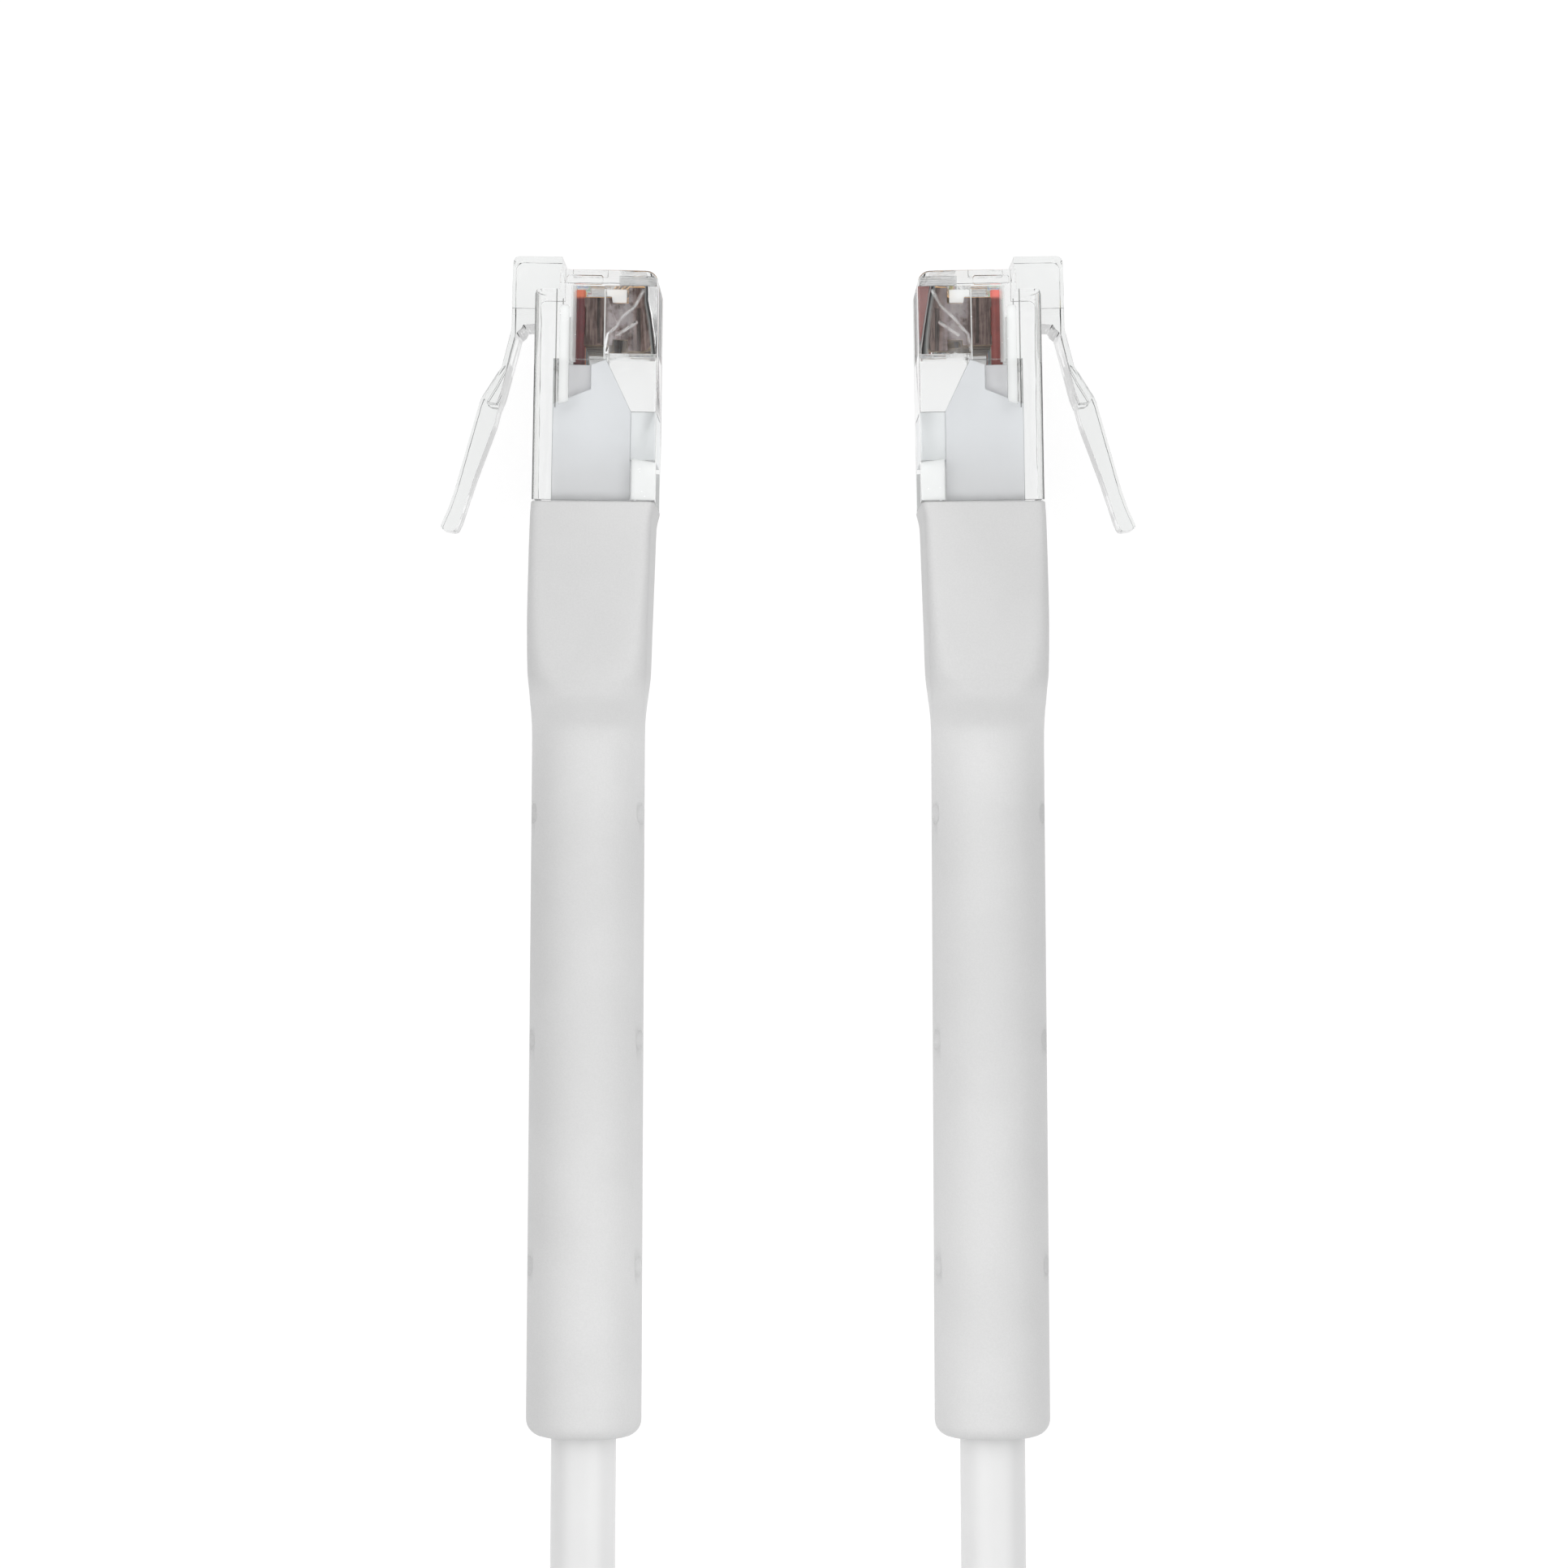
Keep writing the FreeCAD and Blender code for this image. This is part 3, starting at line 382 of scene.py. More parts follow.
def jacket_vinyl():
    """Smooth satin cable jacket."""
    made = Recipe("jacket_vinyl")
    cloud = made.noise(made.place(), JACKET_MOTTLE, 3.0)
    base = settings().cable.colour
    tone = made.mix(cloud.within(0.3, 0.7), opaque(darker(base, 0.97)), opaque(base))
    return made.surface(
        Base_Color=tone,
        Roughness=cloud * 0.12 + 0.36,
        Specular_IOR_Level=0.5,
        Coat_Weight=0.15,
        Coat_Roughness=0.35,
        Normal=made.bump(made.fine_grain(), 0.25, FINE_BUMP),
    )


# Flow streaks over the contacts, as lines of points in millimetres:
# outwards from the row's middle, and along the nose
STREAKS = (
    ((7.63, 29.52), (8.09, 28.72), (8.72, 28.14), (9.07, 27.68), (9.47, 27.22), (9.64, 26.40)),
    ((8.03, 27.85), (8.63, 27.45), (9.00, 27.20)),
)
STREAK_FADE = 0.12
STREAK_HAZE = 0.36
STREAK_PATCHES = 2600
STREAK_BUMP = 0.00004
# Clear plastic
CLEAR_IOR = 1.585
CLEAR_ROUGHNESS = 0.03
FLOW_STRETCH = (1, 0.35, 1)
FLOW_SCALE = 900
FLOW_BUMP = 0.00006
FROST_CLEARNESS = 0.4
HAZE_CLEARNESS = 0.72


def streak_height(made):
    """Soft-edged flow streaks in the walls' sides."""
    spot = made.place()
    across = made.part(spot, "X").size()
    along = made.part(spot, "Y")
    fade = STREAK_FADE * MM
    height = None
    for start, end in (pair for line in STREAKS for pair in zip(line, line[1:])):
        way = Vector(end) - Vector(start)
        reach = way.length
        way.normalize()
        out = across - start[0] * MM
        up = along - start[1] * MM
        ahead = out * way.x + up * way.y
        aside = (out * way.y - up * way.x).size()
        ridge = 1 - aside.within(0.0, fade)
        inside = ahead.within(-fade, 0.0) * (1 - ahead.within(reach * MM, reach * MM + fade))
        height = height.larger(ridge * inside) if height else ridge * inside
    return height


def flow_lines(made):
    """The faint waviness of a clear moulding."""
    return made.bump(made.noise(made.place(FLOW_STRETCH), FLOW_SCALE), 0.18, FLOW_BUMP)


def clear_shader(made, tint, normal):
    return made.shader(
        Base_Color=opaque(tint), Roughness=made.fine_grain() * CLEAR_ROUGHNESS, IOR=CLEAR_IOR,
        Transmission_Weight=1.0, Normal=normal,
    )


def clear_plastic(name, tint):
    """Clear polycarbonate with faint flow lines from the mould."""
    made = Recipe(name)
    return made.finish(clear_shader(made, tint, flow_lines(made)))


def wall_plastic():
    """The plug's clear walls, with hazy flow streaks over the contacts."""
    made = Recipe("clear_wall")
    streak = streak_height(made)
    lines = made.bump(streak, 1.0, STREAK_BUMP, flow_lines(made))
    clear = clear_shader(made, settings().clear.wall, lines)
    haze = made.shader(Base_Color=opaque(settings().clear.pale), Roughness=0.4)
    patchy = made.noise(made.place(), STREAK_PATCHES, 3.0, 0.6).within(0.2, 0.7)
    amount = streak * patchy * STREAK_HAZE
    return made.finish(made.mix_shaders(amount, clear, haze))


def thick_plastic():
    """The latch's clear plastic, a little deeper in tone than the walls."""
    return clear_plastic("clear_thick", settings().clear.thick)


def frosted_plastic(name, clearness):
    """Frosted clear plastic, which is milky by the rest of its clearness."""
    made = Recipe(name)
    fine = made.fine_grain()
    return made.surface(
        Base_Color=opaque(settings().clear.pale), Roughness=fine * 0.1 + 0.2, IOR=CLEAR_IOR,
        Transmission_Weight=clearness, Normal=made.bump(fine, 0.2, FINE_BUMP),
    )


# Between these distances along the nose the filling turns darker towards the boot
FILLING_SHADE = (0.0186, 0.0228)
FILLING_CLOUD = 260
FILLING_GRAIN = 2600


def milky(name, base, deep=None):
    """Milky moulded plastic, a little uneven, and of another tone close to the boot."""
    made = Recipe(name)
    spot = made.place()
    cloud = made.noise(spot, FILLING_CLOUD, 3.0)
    tone = made.mix(cloud.within(0.3, 0.7), opaque(darker(base, 0.94)), opaque(base))
    if deep:
        tone = made.mix(made.part(spot, "Y").within(*FILLING_SHADE), opaque(deep), tone)
    return made.surface(
        Base_Color=tone,
        Roughness=cloud * 0.1 + 0.35,
        Specular_IOR_Level=0.4,
        Normal=made.bump(made.noise(spot, FILLING_GRAIN), 0.2, FINE_BUMP),
    )


BRUSH_STRETCH = (9000, 700, 900)
STAIN_SCALE = 1500
# Painted reflection: the blades' flat sides are painted dark, and their edges painted as gold highlights,
# brighter where they face the nose
FLAT_PAINTED_REFLECTION_TONES = ((0.085, 0.054, 0.046, 1), (0.27, 0.195, 0.175, 1))
WORN_TONE = (0.46, 0.42, 0.43, 1)
# The tone of the painted shade in the blades' bands
BAND_SHADE_TONE = (0.02, 0.017, 0.016, 1)
EDGE_PAINTED_HIGHLIGHT_TONES = ((0.92, 0.46, 0.15, 1), (1.0, 0.68, 0.34, 1))
EDGE_PAINTED_SHADE_TONES = ((0.34, 0.24, 0.15, 1), (0.54, 0.41, 0.28, 1))
# Bands of painted shade on the blades' flat sides, in metres in the scene: from and to outwards, from and to
# along the nose
PAINTED_SHADE_BANDS = ((0.00783, 0.00801, 0.0264, 0.0287), (0.00998, 0.01010, 0.0269, 0.0293))
BAND_FADE = 0.00005
# Where the blades' necks are scratched lighter, outwards
WORN_FROM = (0.0079, 0.0085)
WORN_TO = (0.0094, 0.0097)


def bronze_painted_highlights():
    """Punched bronze blades, brushed on their flat sides, with painted reflections: the flat sides are
    painted dark and the edges as gold highlights, brightest where they face the nose.
    """
    made = Recipe("bronze_painted_highlights")
    facing = made.add("ShaderNodeTexCoord", output="Normal")
    sideways = made.part(facing, "Z").size()
    spot = made.place()
    away = made.part(spot, "X").size()
    along = made.part(spot, "Y")
    brush = made.noise(made.place(BRUSH_STRETCH), 1.0, 2.0, 0.6)
    stain = made.noise(spot, STAIN_SCALE, 3.0, 0.6)
    flat = made.mix((brush * 0.65 + stain * 0.35).within(0.36, 0.64), *FLAT_PAINTED_REFLECTION_TONES)
    worn = away.within(*WORN_FROM) * (1 - away.within(*WORN_TO)) * stain.within(0.3, 0.6)
    flat = made.mix(worn * 0.75, flat, WORN_TONE)
    # Painted shade: dark bands on the blades' flat sides
    for low, high, back, front in PAINTED_SHADE_BANDS:
        outwards = away.within(low - BAND_FADE, low) * (1 - away.within(high, high + BAND_FADE))
        lengthwise = along.within(back - BAND_FADE, back) * (1 - along.within(front, front + BAND_FADE))
        flat = made.mix(outwards * lengthwise * 0.7, flat, BAND_SHADE_TONE)
    # Painted highlight on the edges, brighter where they face the nose; the flat sides keep their painted
    # dark reflection
    bright = made.mix(stain, *EDGE_PAINTED_HIGHLIGHT_TONES)
    shaded_edge = made.mix(stain, *EDGE_PAINTED_SHADE_TONES)
    edge = made.mix(made.part(facing, "Y") > 0.4, shaded_edge, bright)
    return made.surface(
        Base_Color=made.mix(sideways > 0.8, edge, flat),
        Metallic=1.0,
        Roughness=brush * 0.25 + 0.3,
        Normal=made.bump(brush, 0.35, FINE_BUMP),
    )


STRAND_STRETCH = (7000, 400, 7000)
COPPER_TONES = ((0.62, 0.27, 0.14, 1), (0.86, 0.48, 0.30, 1))


def bare_copper():
    """The copper cores at the wires' cut ends."""
    made = Recipe("bare_copper")
    strand = made.noise(made.place(STRAND_STRETCH), 1.0)
    tone = made.mix(strand, *COPPER_TONES)
    return made.surface(Base_Color=tone, Metallic=1.0, Roughness=strand * 0.2 + 0.25)


WIRE_CLOUD = 2200
# Distances along the nose between which the wires turn lighter towards their cut ends
CUT_END = (0.0292, 0.0294)
# The red wire's cut end, and how the other wires' tones turn lighter there
RED_CUT = (0.72, 0.17, 0.08)
CUT_GAIN = 4
CUT_LIFT = 0.05
# Each wire's colour, and the tracer's where it has one
INSULATION = {
    "white_orange": ((0.125, 0.010, 0.014), (0.80, 0.72, 0.66)),
    "orange": ((0.78, 0.20, 0.03), None),
    "white_green": ((0.80, 0.84, 0.79), (0.05, 0.38, 0.14)),
    "blue": ((0.03, 0.10, 0.42), None),
    "white_blue": ((0.78, 0.82, 0.88), (0.05, 0.14, 0.50)),
    "green": ((0.03, 0.30, 0.10), None),
    "white_brown": ((0.80, 0.76, 0.70), (0.25, 0.09, 0.04)),
    "brown": ((0.26, 0.045, 0.035), None),
}


def insulation(name):
    """Glossy wire insulation, the white ones with a tracer."""
    base, tracer = INSULATION[name]
    made = Recipe("insulation_" + name)
    spot = made.place()
    cloud = made.noise(spot, WIRE_CLOUD)
    tone = made.mix(cloud.within(0.25, 0.75), opaque(darker(base, 0.75)), opaque(base))
    lighter = tuple(min(part * CUT_GAIN + CUT_LIFT, 1) for part in base)
    cut = RED_CUT if name == "white_orange" else lighter
    tone = made.mix(made.part(spot, "Y").within(*CUT_END), tone, opaque(cut))
    if tracer:
        facing = made.add("ShaderNodeTexCoord", output="Normal")
        tone = made.mix((made.part(facing, "Z") + cloud * 0.3) > 0.0, opaque(tracer), tone)
    return made.surface(Base_Color=tone, Roughness=cloud * 0.1 + 0.3, Specular_IOR_Level=0.5)


PILE_SCALE = 4200
RIB_SCALE = 900
STRAP_BUMP = 0.00012


def loop_strap():
    """Woven strap: fine ribs under a short pile."""
    made = Recipe("loop_strap")
    spot = made.place()
    pile = made.noise(spot, PILE_SCALE, 4.0, 0.7)
    weave = {"Vector": spot, "Scale": RIB_SCALE, "Distortion": 1.5, "Detail": 2.0}
    rib = made.add("ShaderNodeTexWave", {"bands_direction": "X"}, weave)
    base = settings().tie.colour
    tone = made.mix(pile.within(0.25, 0.75), opaque(darker(base, 0.82)), opaque(base))
    return made.surface(
        Base_Color=tone,
        Roughness=pile * 0.2 + 0.75,
        Sheen_Weight=0.3,
        Normal=made.bump(pile * 0.6 + rib * 0.4, 0.8, STRAP_BUMP),
    )


TABLE_CLOUD = 3.0
TABLE_TONES = ((0.17, 0.17, 0.17, 1), (0.20, 0.20, 0.20, 1))


def table_top():
    """A pale table that glows a little, so that hardly a shadow shows."""
    made = Recipe("table_top")
    cloud = made.noise(made.place(), TABLE_CLOUD)
    return made.surface(
        Base_Color=made.mix(cloud, *TABLE_TONES),
        Roughness=cloud * 0.1 + 0.8,
        Specular_IOR_Level=0.0,
        Emission_Color=WHITE,
        Emission_Strength=settings().studio.glow,
    )


# Mesh helpers
def end_frame(side):
    """The boot's frame: its origin at the cable's exit, +Y towards the nose."""
    ends = settings().ends
    start = Vector((-ends.spacing / 2, -ends.tail, ends.axis_height))
    left = Matrix.Translation(start) @ Matrix.Rotation(-ends.lean, 4, "Z")
    if side == "left":
        return left
    return Matrix.Translation((0, 0, 2 * ends.axis_height)) @ Matrix.Rotation(math.pi, 4, "Y") @ left


def plain_object(name, work):
    """Turn finished bmesh work into an object."""
    mesh = bpy.data.meshes.new(name)
    work.to_mesh(mesh)
    work.free()
    made = bpy.data.objects.new(name, mesh)
    bpy.context.scene.collection.objects.link(made)
    return made


def new_piece(name, work, material):
    piece = plain_object(name, work)
    piece.data.materials.append(material)
    return piece


def add_piece(name, work, material, body, slot, replaced):
    """Turn finished bmesh work into a piece that rides on a body in place of its CAD nodes."""
    piece = new_piece(name, work, material)
    hand_over(piece, body, slot, replaced)
    return piece


def hand_over(piece, body, slot, replaced):
    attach(piece, body)
    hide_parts(*replaced)


def dress(node, material):
    """Give a CAD node that keeps its shape its finished material."""
    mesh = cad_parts[node].data
    for index in range(len(mesh.materials)):
        mesh.materials[index] = material


SHARP = math.radians(30)
FLAT = math.radians(0.6)
MERGE = MM / 500


def tidied(work):
    """Merge doubles and dissolve what lies flat."""
    bmesh.ops.remove_doubles(work, verts=work.verts, dist=MERGE)
    bmesh.ops.dissolve_limit(work, angle_limit=FLAT, verts=work.verts, edges=work.edges)


def merged_copy(node):
    """A copy of a CAD node's mesh with its loose triangles joined."""
    work = bmesh.new()
    work.from_mesh(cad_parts[node].data)
    tidied(work)
    return work


def sharp_edges(work):
    return [e for e in work.edges if e.is_manifold and e.calc_face_angle() > SHARP]


def round_over(work, edges, radius, segments=2, clamp=True):
    """Round edges off and shade the rounding smooth."""
    made = bmesh.ops.bevel(
        work, geom=edges, offset=radius, offset_type="OFFSET", affect="EDGES", segments=segments,
        profile=0.5, material=-1, clamp_overlap=clamp,
    )
    for face in made["faces"]:
        face.smooth = True


def softened(node, edge):
    """A merged copy of a CAD node whose sharp edges are rounded."""
    work = merged_copy(node)
    round_over(work, sharp_edges(work), edge)
    return work


def prism(work, corners, low, high):
    """An extruded block, from corners given as (depth below the contact face, distance behind the nose)."""
    base = [work.verts.new((-depth * MM, -behind * MM, low * MM)) for depth, behind in corners]
    face = work.faces.new(base)
    made = bmesh.ops.extrude_face_region(work, geom=[face])["geom"]
    raised = [v for v in made if isinstance(v, bmesh.types.BMVert)]
    bmesh.ops.translate(work, verts=raised, vec=(0, 0, (high - low) * MM))
    bmesh.ops.recalc_face_normals(work, faces=work.faces)


def rectangle(front, back, top, bottom):
    """Corners of a prism from two distances behind the nose and two depths."""
    return ((top, front), (top, back), (bottom, back), (bottom, front))


def swept_ring(work, count, stations):
    """A closed skin through rings. Each station gives the ring's points in order."""
    first = bmesh.ops.create_circle(work, segments=count, radius=MM)["verts"]
    ring = list(first)
    move_ring(ring, stations[0])
    for points in stations[1:]:
        edges = [work.edges.get((ring[i], ring[(i + 1) % count])) for i in range(count)]
        made = bmesh.ops.extrude_edge_only(work, edges=edges)["geom"]
        fresh = {v for v in made if isinstance(v, bmesh.types.BMVert)}
        ring = [next(e.other_vert(v) for e in v.link_edges if e.other_vert(v) in fresh) for v in ring]
        move_ring(ring, points)
    return ring


def move_ring(ring, points):
    for vertex, point in zip(ring, points):
        vertex.co = point


def section(count, low, high, half, corner):
    """Points round a rectangle with round corners, evenly spaced in each quarter, as (x, z)."""
    points = []
    middle = (low + high) / 2
    reach = (high - low) / 2
    corner = min(corner, reach, half)
    quarter = count // 4
    upright = half - corner
    level = reach - corner
    arc = corner * math.pi / 2
    total = upright + arc + level
    for index in range(quarter):
        along = total * index / quarter
        if along <= upright:
            spot = (reach, along)
        elif along <= upright + arc:
            angle = (along - upright) / corner
            spot = (level + corner * math.cos(angle), upright + corner * math.sin(angle))
        else:
            spot = (level - (along - upright - arc), half)
        points.append(spot)
    signs = ((1, 1), (-1, 1), (-1, -1), (1, -1))
    full = []
    for across, up in signs:
        row = points if across * up > 0 else mirrored_quarter(points, half)
        full += [(middle + across * x, up * z) for x, z in row]
    return full


def mirrored_quarter(points, half):
    """The same quarter walked the other way, from the top middle to the side."""
    return [(0.0, half)] + list(reversed(points[1:]))


def smooth_row(rows, place):
    """Values of a table at a place, by a smooth curve through its rows that doesn't overshoot."""
    if place <= rows[0][0]:
        return rows[0][1:]
    for index, (before, after) in enumerate(zip(rows, rows[1:])):
        if place <= after[0]:
            break
    else:
        return rows[-1][1:]
    span = after[0] - before[0]
    share = (place - before[0]) / span
    values = []
    for column in range(1, len(before)):
        start = row_slope(rows, index, column) * span
        end = row_slope(rows, index + 1, column) * span
        rest = 1 - share
        values.append(
            before[column] * (1 + 2 * share) * rest * rest
            + start * share * rest * rest
            + after[column] * share * share * (3 - 2 * share)
            - end * share * share * rest
        )
    return values


def row_slope(rows, index, column):
    """A slope that keeps the curve between its neighbours."""
    if index in (0, len(rows) - 1):
        return 0.0
    steps = []
    for before, after in zip(rows[index - 1:index + 1], rows[index:index + 2]):
        steps.append((after[column] - before[column]) / (after[0] - before[0]))
    if steps[0] * steps[1] <= 0:
        return 0.0
    return 2 * steps[0] * steps[1] / (steps[0] + steps[1])


# Boot: (behind the mouth, latch side, contact side, half width, corner) in millimetres
BOOT_ROWS = (
    (0.0, -2.93, 3.62, 5.95, 0.40),
    (0.9, -2.975, 3.45, 5.95, 0.42),
    (3.1, -3.04, 3.375, 5.95, 0.50),
    (7.0, -3.105, 3.262, 5.95, 0.80),
    (9.0, -3.09, 3.215, 5.90, 1.25),
    (10.2, -3.035, 3.115, 5.35, 2.00),
    (11.2, -3.03, 3.05, 4.10, 2.60),
    (12.1, -3.035, 3.035, 3.28, 3.00),
    (13.4, -3.04, 3.04, 3.04, 3.04),
)
FORM_LENGTH = BOOT_ROWS[-1][0]
FORM_STEP = 0.3
SLEEVE_RINGS = 30
ROUND_STEPS = 8
RIM = 0.12
RIM_STEPS = 3
SEAT_CORNER = 0.1
BORE_ROOM = 0.01
SKIN_MERGE = MM / 1000
PIT_ROWS = 3
BALL_STEPS = 4


def round_ring(y, radius):
    """One of the boot's round rings, written like the others."""
    return y, -radius, radius, radius, radius


def sleeve_rings(bore):
    """The boot's rings from the bore's end over the rounded tail and along the sleeve.

    Each ring is given as its place along the boot, its latch side, contact side, half width and corner.
    """
    boot = settings().boot
    yield round_ring(0, bore)
    yield round_ring(0, (bore + boot.tail_radius - boot.tail_round) / 2)
    for step in range(ROUND_STEPS + 1):
        turn = math.pi / 2 * step / ROUND_STEPS
        inset = boot.tail_round * (1 - math.sin(turn))
        yield round_ring(boot.tail_round * (1 - math.cos(turn)), boot.tail_radius - inset)
    sleeve_end = boot.length - FORM_LENGTH * MM
    for step in range(1, SLEEVE_RINGS):
        share = step / SLEEVE_RINGS
        y = boot.tail_round + (sleeve_end - boot.tail_round) * share
        yield round_ring(y, boot.tail_radius + (boot.neck_radius - boot.tail_radius) * share)


def form_rings():
    """The rings of the neck, the wide part and the mouth's rounded rim."""
    boot = settings().boot
    steps = round(FORM_LENGTH / FORM_STEP)
    for step in range(steps):
        behind = FORM_LENGTH * (1 - step / steps)
        if behind > RIM:
            yield boot.length - behind * MM, *(value * MM for value in smooth_row(BOOT_ROWS, behind))
    low, high, half, corner = (value * MM for value in BOOT_ROWS[0][1:])
    rim = RIM * MM
    for step in range(RIM_STEPS + 1):
        turn = math.pi / 2 * step / RIM_STEPS
        inset = rim * (1 - math.cos(turn))
        yield boot.length - rim + rim * math.sin(turn), low + inset, high - inset, half - inset, corner


def seat_rings(bore):
    """The rings of the plug's seat behind the mouth, and of the bore behind it."""
    boot = settings().boot
    ends = settings().ends
    seat = ends.plug_height / 2 - boot.wall_step
    half = ends.plug_width / 2 - boot.wall_step
    shift = ends.plug_offset
    yield boot.length, shift - seat, shift + seat, half, MM * SEAT_CORNER
    back = boot.length - boot.pocket
    shift -= boot.pocket * math.tan(ends.plug_lean)
    yield back, shift - seat, shift + seat, half, MM * SEAT_CORNER
    yield round_ring(back, bore)
    yield round_ring(0, bore)


def boot_skin(work):
    """The boot's outside, mouth, seat and bore as one closed skin, in its own frame."""
    count = settings().boot.sides
    bore = settings().cable.diameter / 2 + MM * BORE_ROOM
    stations = []
    for y, *sizes in (*sleeve_rings(bore), *form_rings(), *seat_rings(bore)):
        stations.append([Vector((x, y, z)) for x, z in section(count, *sizes)])
    swept_ring(work, count, stations)
    bmesh.ops.remove_doubles(work, verts=work.verts, dist=SKIN_MERGE)
    bmesh.ops.recalc_face_normals(work, faces=work.faces)
    for face in work.faces:
        face.smooth = True


def pit_cutter(work):
    """Balls that press the grip pits into the sleeve's flanks, in the boot's own frame."""
    boot = settings().boot
    ball = (boot.pit_radius ** 2 + boot.pit_depth ** 2) / (2 * boot.pit_depth)
    for index in range(PIT_ROWS):
        y = boot.pit_first + index * boot.pit_pitch
        share = y / (boot.length - FORM_LENGTH * MM)
        surface = boot.tail_radius + (boot.neck_radius - boot.tail_radius) * share
        away = surface - boot.pit_depth + ball
        for flank in (0, math.pi):
            for tilt in (-boot.pit_angle, boot.pit_angle):
                angle = flank + tilt
                place = Vector((away * math.cos(angle), y, away * math.sin(angle)))
                spot = Matrix.Translation(place)
                bmesh.ops.create_icosphere(work, subdivisions=BALL_STEPS, radius=ball, matrix=spot)


def applied(piece):
    """Replace a piece's mesh by what its modifiers make of it."""
    graph = bpy.context.evaluated_depsgraph_get()
    mesh = bpy.data.meshes.new_from_object(piece.evaluated_get(graph))
    old = piece.data
    piece.modifiers.clear()
    piece.data = mesh
    bpy.data.meshes.remove(old)
    return mesh


def carved(work, tool, operation="DIFFERENCE"):
    """Cut a tool out of the work, or join it to the work."""
    body = plain_object("carved", work)
    cutter = plain_object("tool", tool)
    change = body.modifiers.new("change", "BOOLEAN")
    change.operation = operation
    change.solver = "EXACT"
    change.object = cutter
    mesh = applied(body)
    result = bmesh.new()
    result.from_mesh(mesh)
    for spent in (body, cutter):
        shape = spent.data
        bpy.data.objects.remove(spent)
        bpy.data.meshes.remove(shape)
    return result


def boot_form():
    """The boot with its pits, in its own frame."""
    work = bmesh.new()
    boot_skin(work)
    pits = bmesh.new()
    pit_cutter(pits)
    return carved(work, pits)


# Clear plug, in millimetres in its own frame: (depth below the contact face, distance behind the nose)
PLUG_HALF = 5.84
LATCH_FACE = 6.5
WEB_FRONT = 1.84
WEB_SEAT = rectangle(WEB_FRONT, 3.3, 6.501, 8.3)
WEB_ROOM = 0.1
WEB_ROOT = ((7.85, 1.86), (7.85, 2.9))
WEB_FOOT = ((7.34, 2.95), (7.22, 2.72), (6.54, 2.68), (6.54, 1.86))
# In the lever's own frame: (outwards, behind the hinge)
ARM = (
    (0.27, 0.35), (0.26, 2.2), (0.44, 3.0), (0.74, 3.97), (0.66, 4.14), (0.50, 4.2), (0.03, 4.13),
    (-0.05, 3.5), (-0.05, 0.2),
)
LEVER = (
    (0.26, 1.8), (0.38, 2.12), (0.53, 2.5), (0.66, 2.92), (0.97, 3.9), (1.02, 4.35), (1.04, 6.5),
    (1.09, 9.1), (1.17, 10.1), (1.31, 11.0), (1.33, 11.13), (1.27, 11.26), (1.14, 11.32), (0.70, 11.28),
    (0.55, 11.22), (0.47, 11.08), (0.40, 10.7), (0.33, 9.4), (0.24, 8.1), (0.08, 6.5), (-0.05, 5.2),
    (-0.05, 1.8),
)
# In the plug's frame again
BEND_START = (7.4, 2.75)
BEND_END = (7.75, 4.1)
SLOT_NOSE = rectangle(0.17, 0.75, -0.3, 2.1)
SLOT_HALF = 0.22
CONTACT_PITCH = 1.016
OLD_POCKET = rectangle(1.7, 4.649, 4.62, 5.58)
OLD_POCKET_HALF = 4.62
PAD_SEAT = rectangle(7.36, 9.97, -0.3, 1.4)
PAD = rectangle(7.38, 9.93, 0.03, 1.5)
PAD_HALF = 3.76
PAD_SEAT_HALF = 3.79
SIDE_RECESS = ((5.09, 1.87), (5.17, 1.97), (5.17, 7.12), (4.66, 6.97), (4.66, 1.97), (4.74, 1.87))
WINDOW = ((1.25, 9.94), (1.25, 12.1), (-0.1, 12.1), (-0.1, 10.12))
STRIPE = rectangle(1.0, 4.73, 2.75, 2.83)
HAZY_STRIP = rectangle(0.85, 4.9, 4.29, 4.57)
NECK_PATCH = ((2.72, 1.02), (1.64, 1.02), (1.64, 1.73), (2.38, 1.73), (2.44, 1.41), (2.72, 1.41))
WALL_LINE = rectangle(1.0, 7.3, 5.31, 5.37)
NOSE_RECESS = (
    (3.0, 0.30), (2.92, 0.38), (2.92, 0.68), (3.0, 0.76), (4.73, 0.76), (4.81, 0.68), (4.81, 0.38),
    (4.73, 0.30),
)
FROSTED = (SIDE_RECESS, WINDOW, STRIPE, NECK_PATCH)
RECESSES = FROSTED + (HAZY_STRIP, WALL_LINE)
RECESS_DEPTH = 0.12
LINE_DEPTH = 0.05
SHALLOW = (WALL_LINE, STRIPE, NECK_PATCH, HAZY_STRIP)
# Rounding radius of the slots' mouths, steps of the long roundings, and specks that are merged after them
SLOT_MOUTH = 0.23
LONG_STEPS = 4
SPECK = 0.012
# Tolerances for telling the plug's edges and faces apart by their places
NEAR = 0.02
TIGHT = 0.01
SKIN = 0.004
# Where its edges and faces lie: the latch side's and the nose's corners, the slots' row, the ribs between
# the slots, the walls round its inside, the boot's mouth and the latch root
LATCH_CORNER = 6.45
NOSE_CORNER = 0.7
NOSE_REACH = 0.5
ROW_HALF = 4
MOUTH_SPAN = (0.6, 4.4)
RIBS_HALF = 4.2
RIBS_SPAN = (0.5, 4.5)
SIDE_WALL = 0.3
NOSE_WALL = 0.1
INNER_DEPTH = 6.4
BOOT_ROOM = 0.1
ROOT_END = 1.1
# The outer share of the long rounding beside the latch, which is tinted darkest as painted dark reflection
RIM_SHARE = 0.32
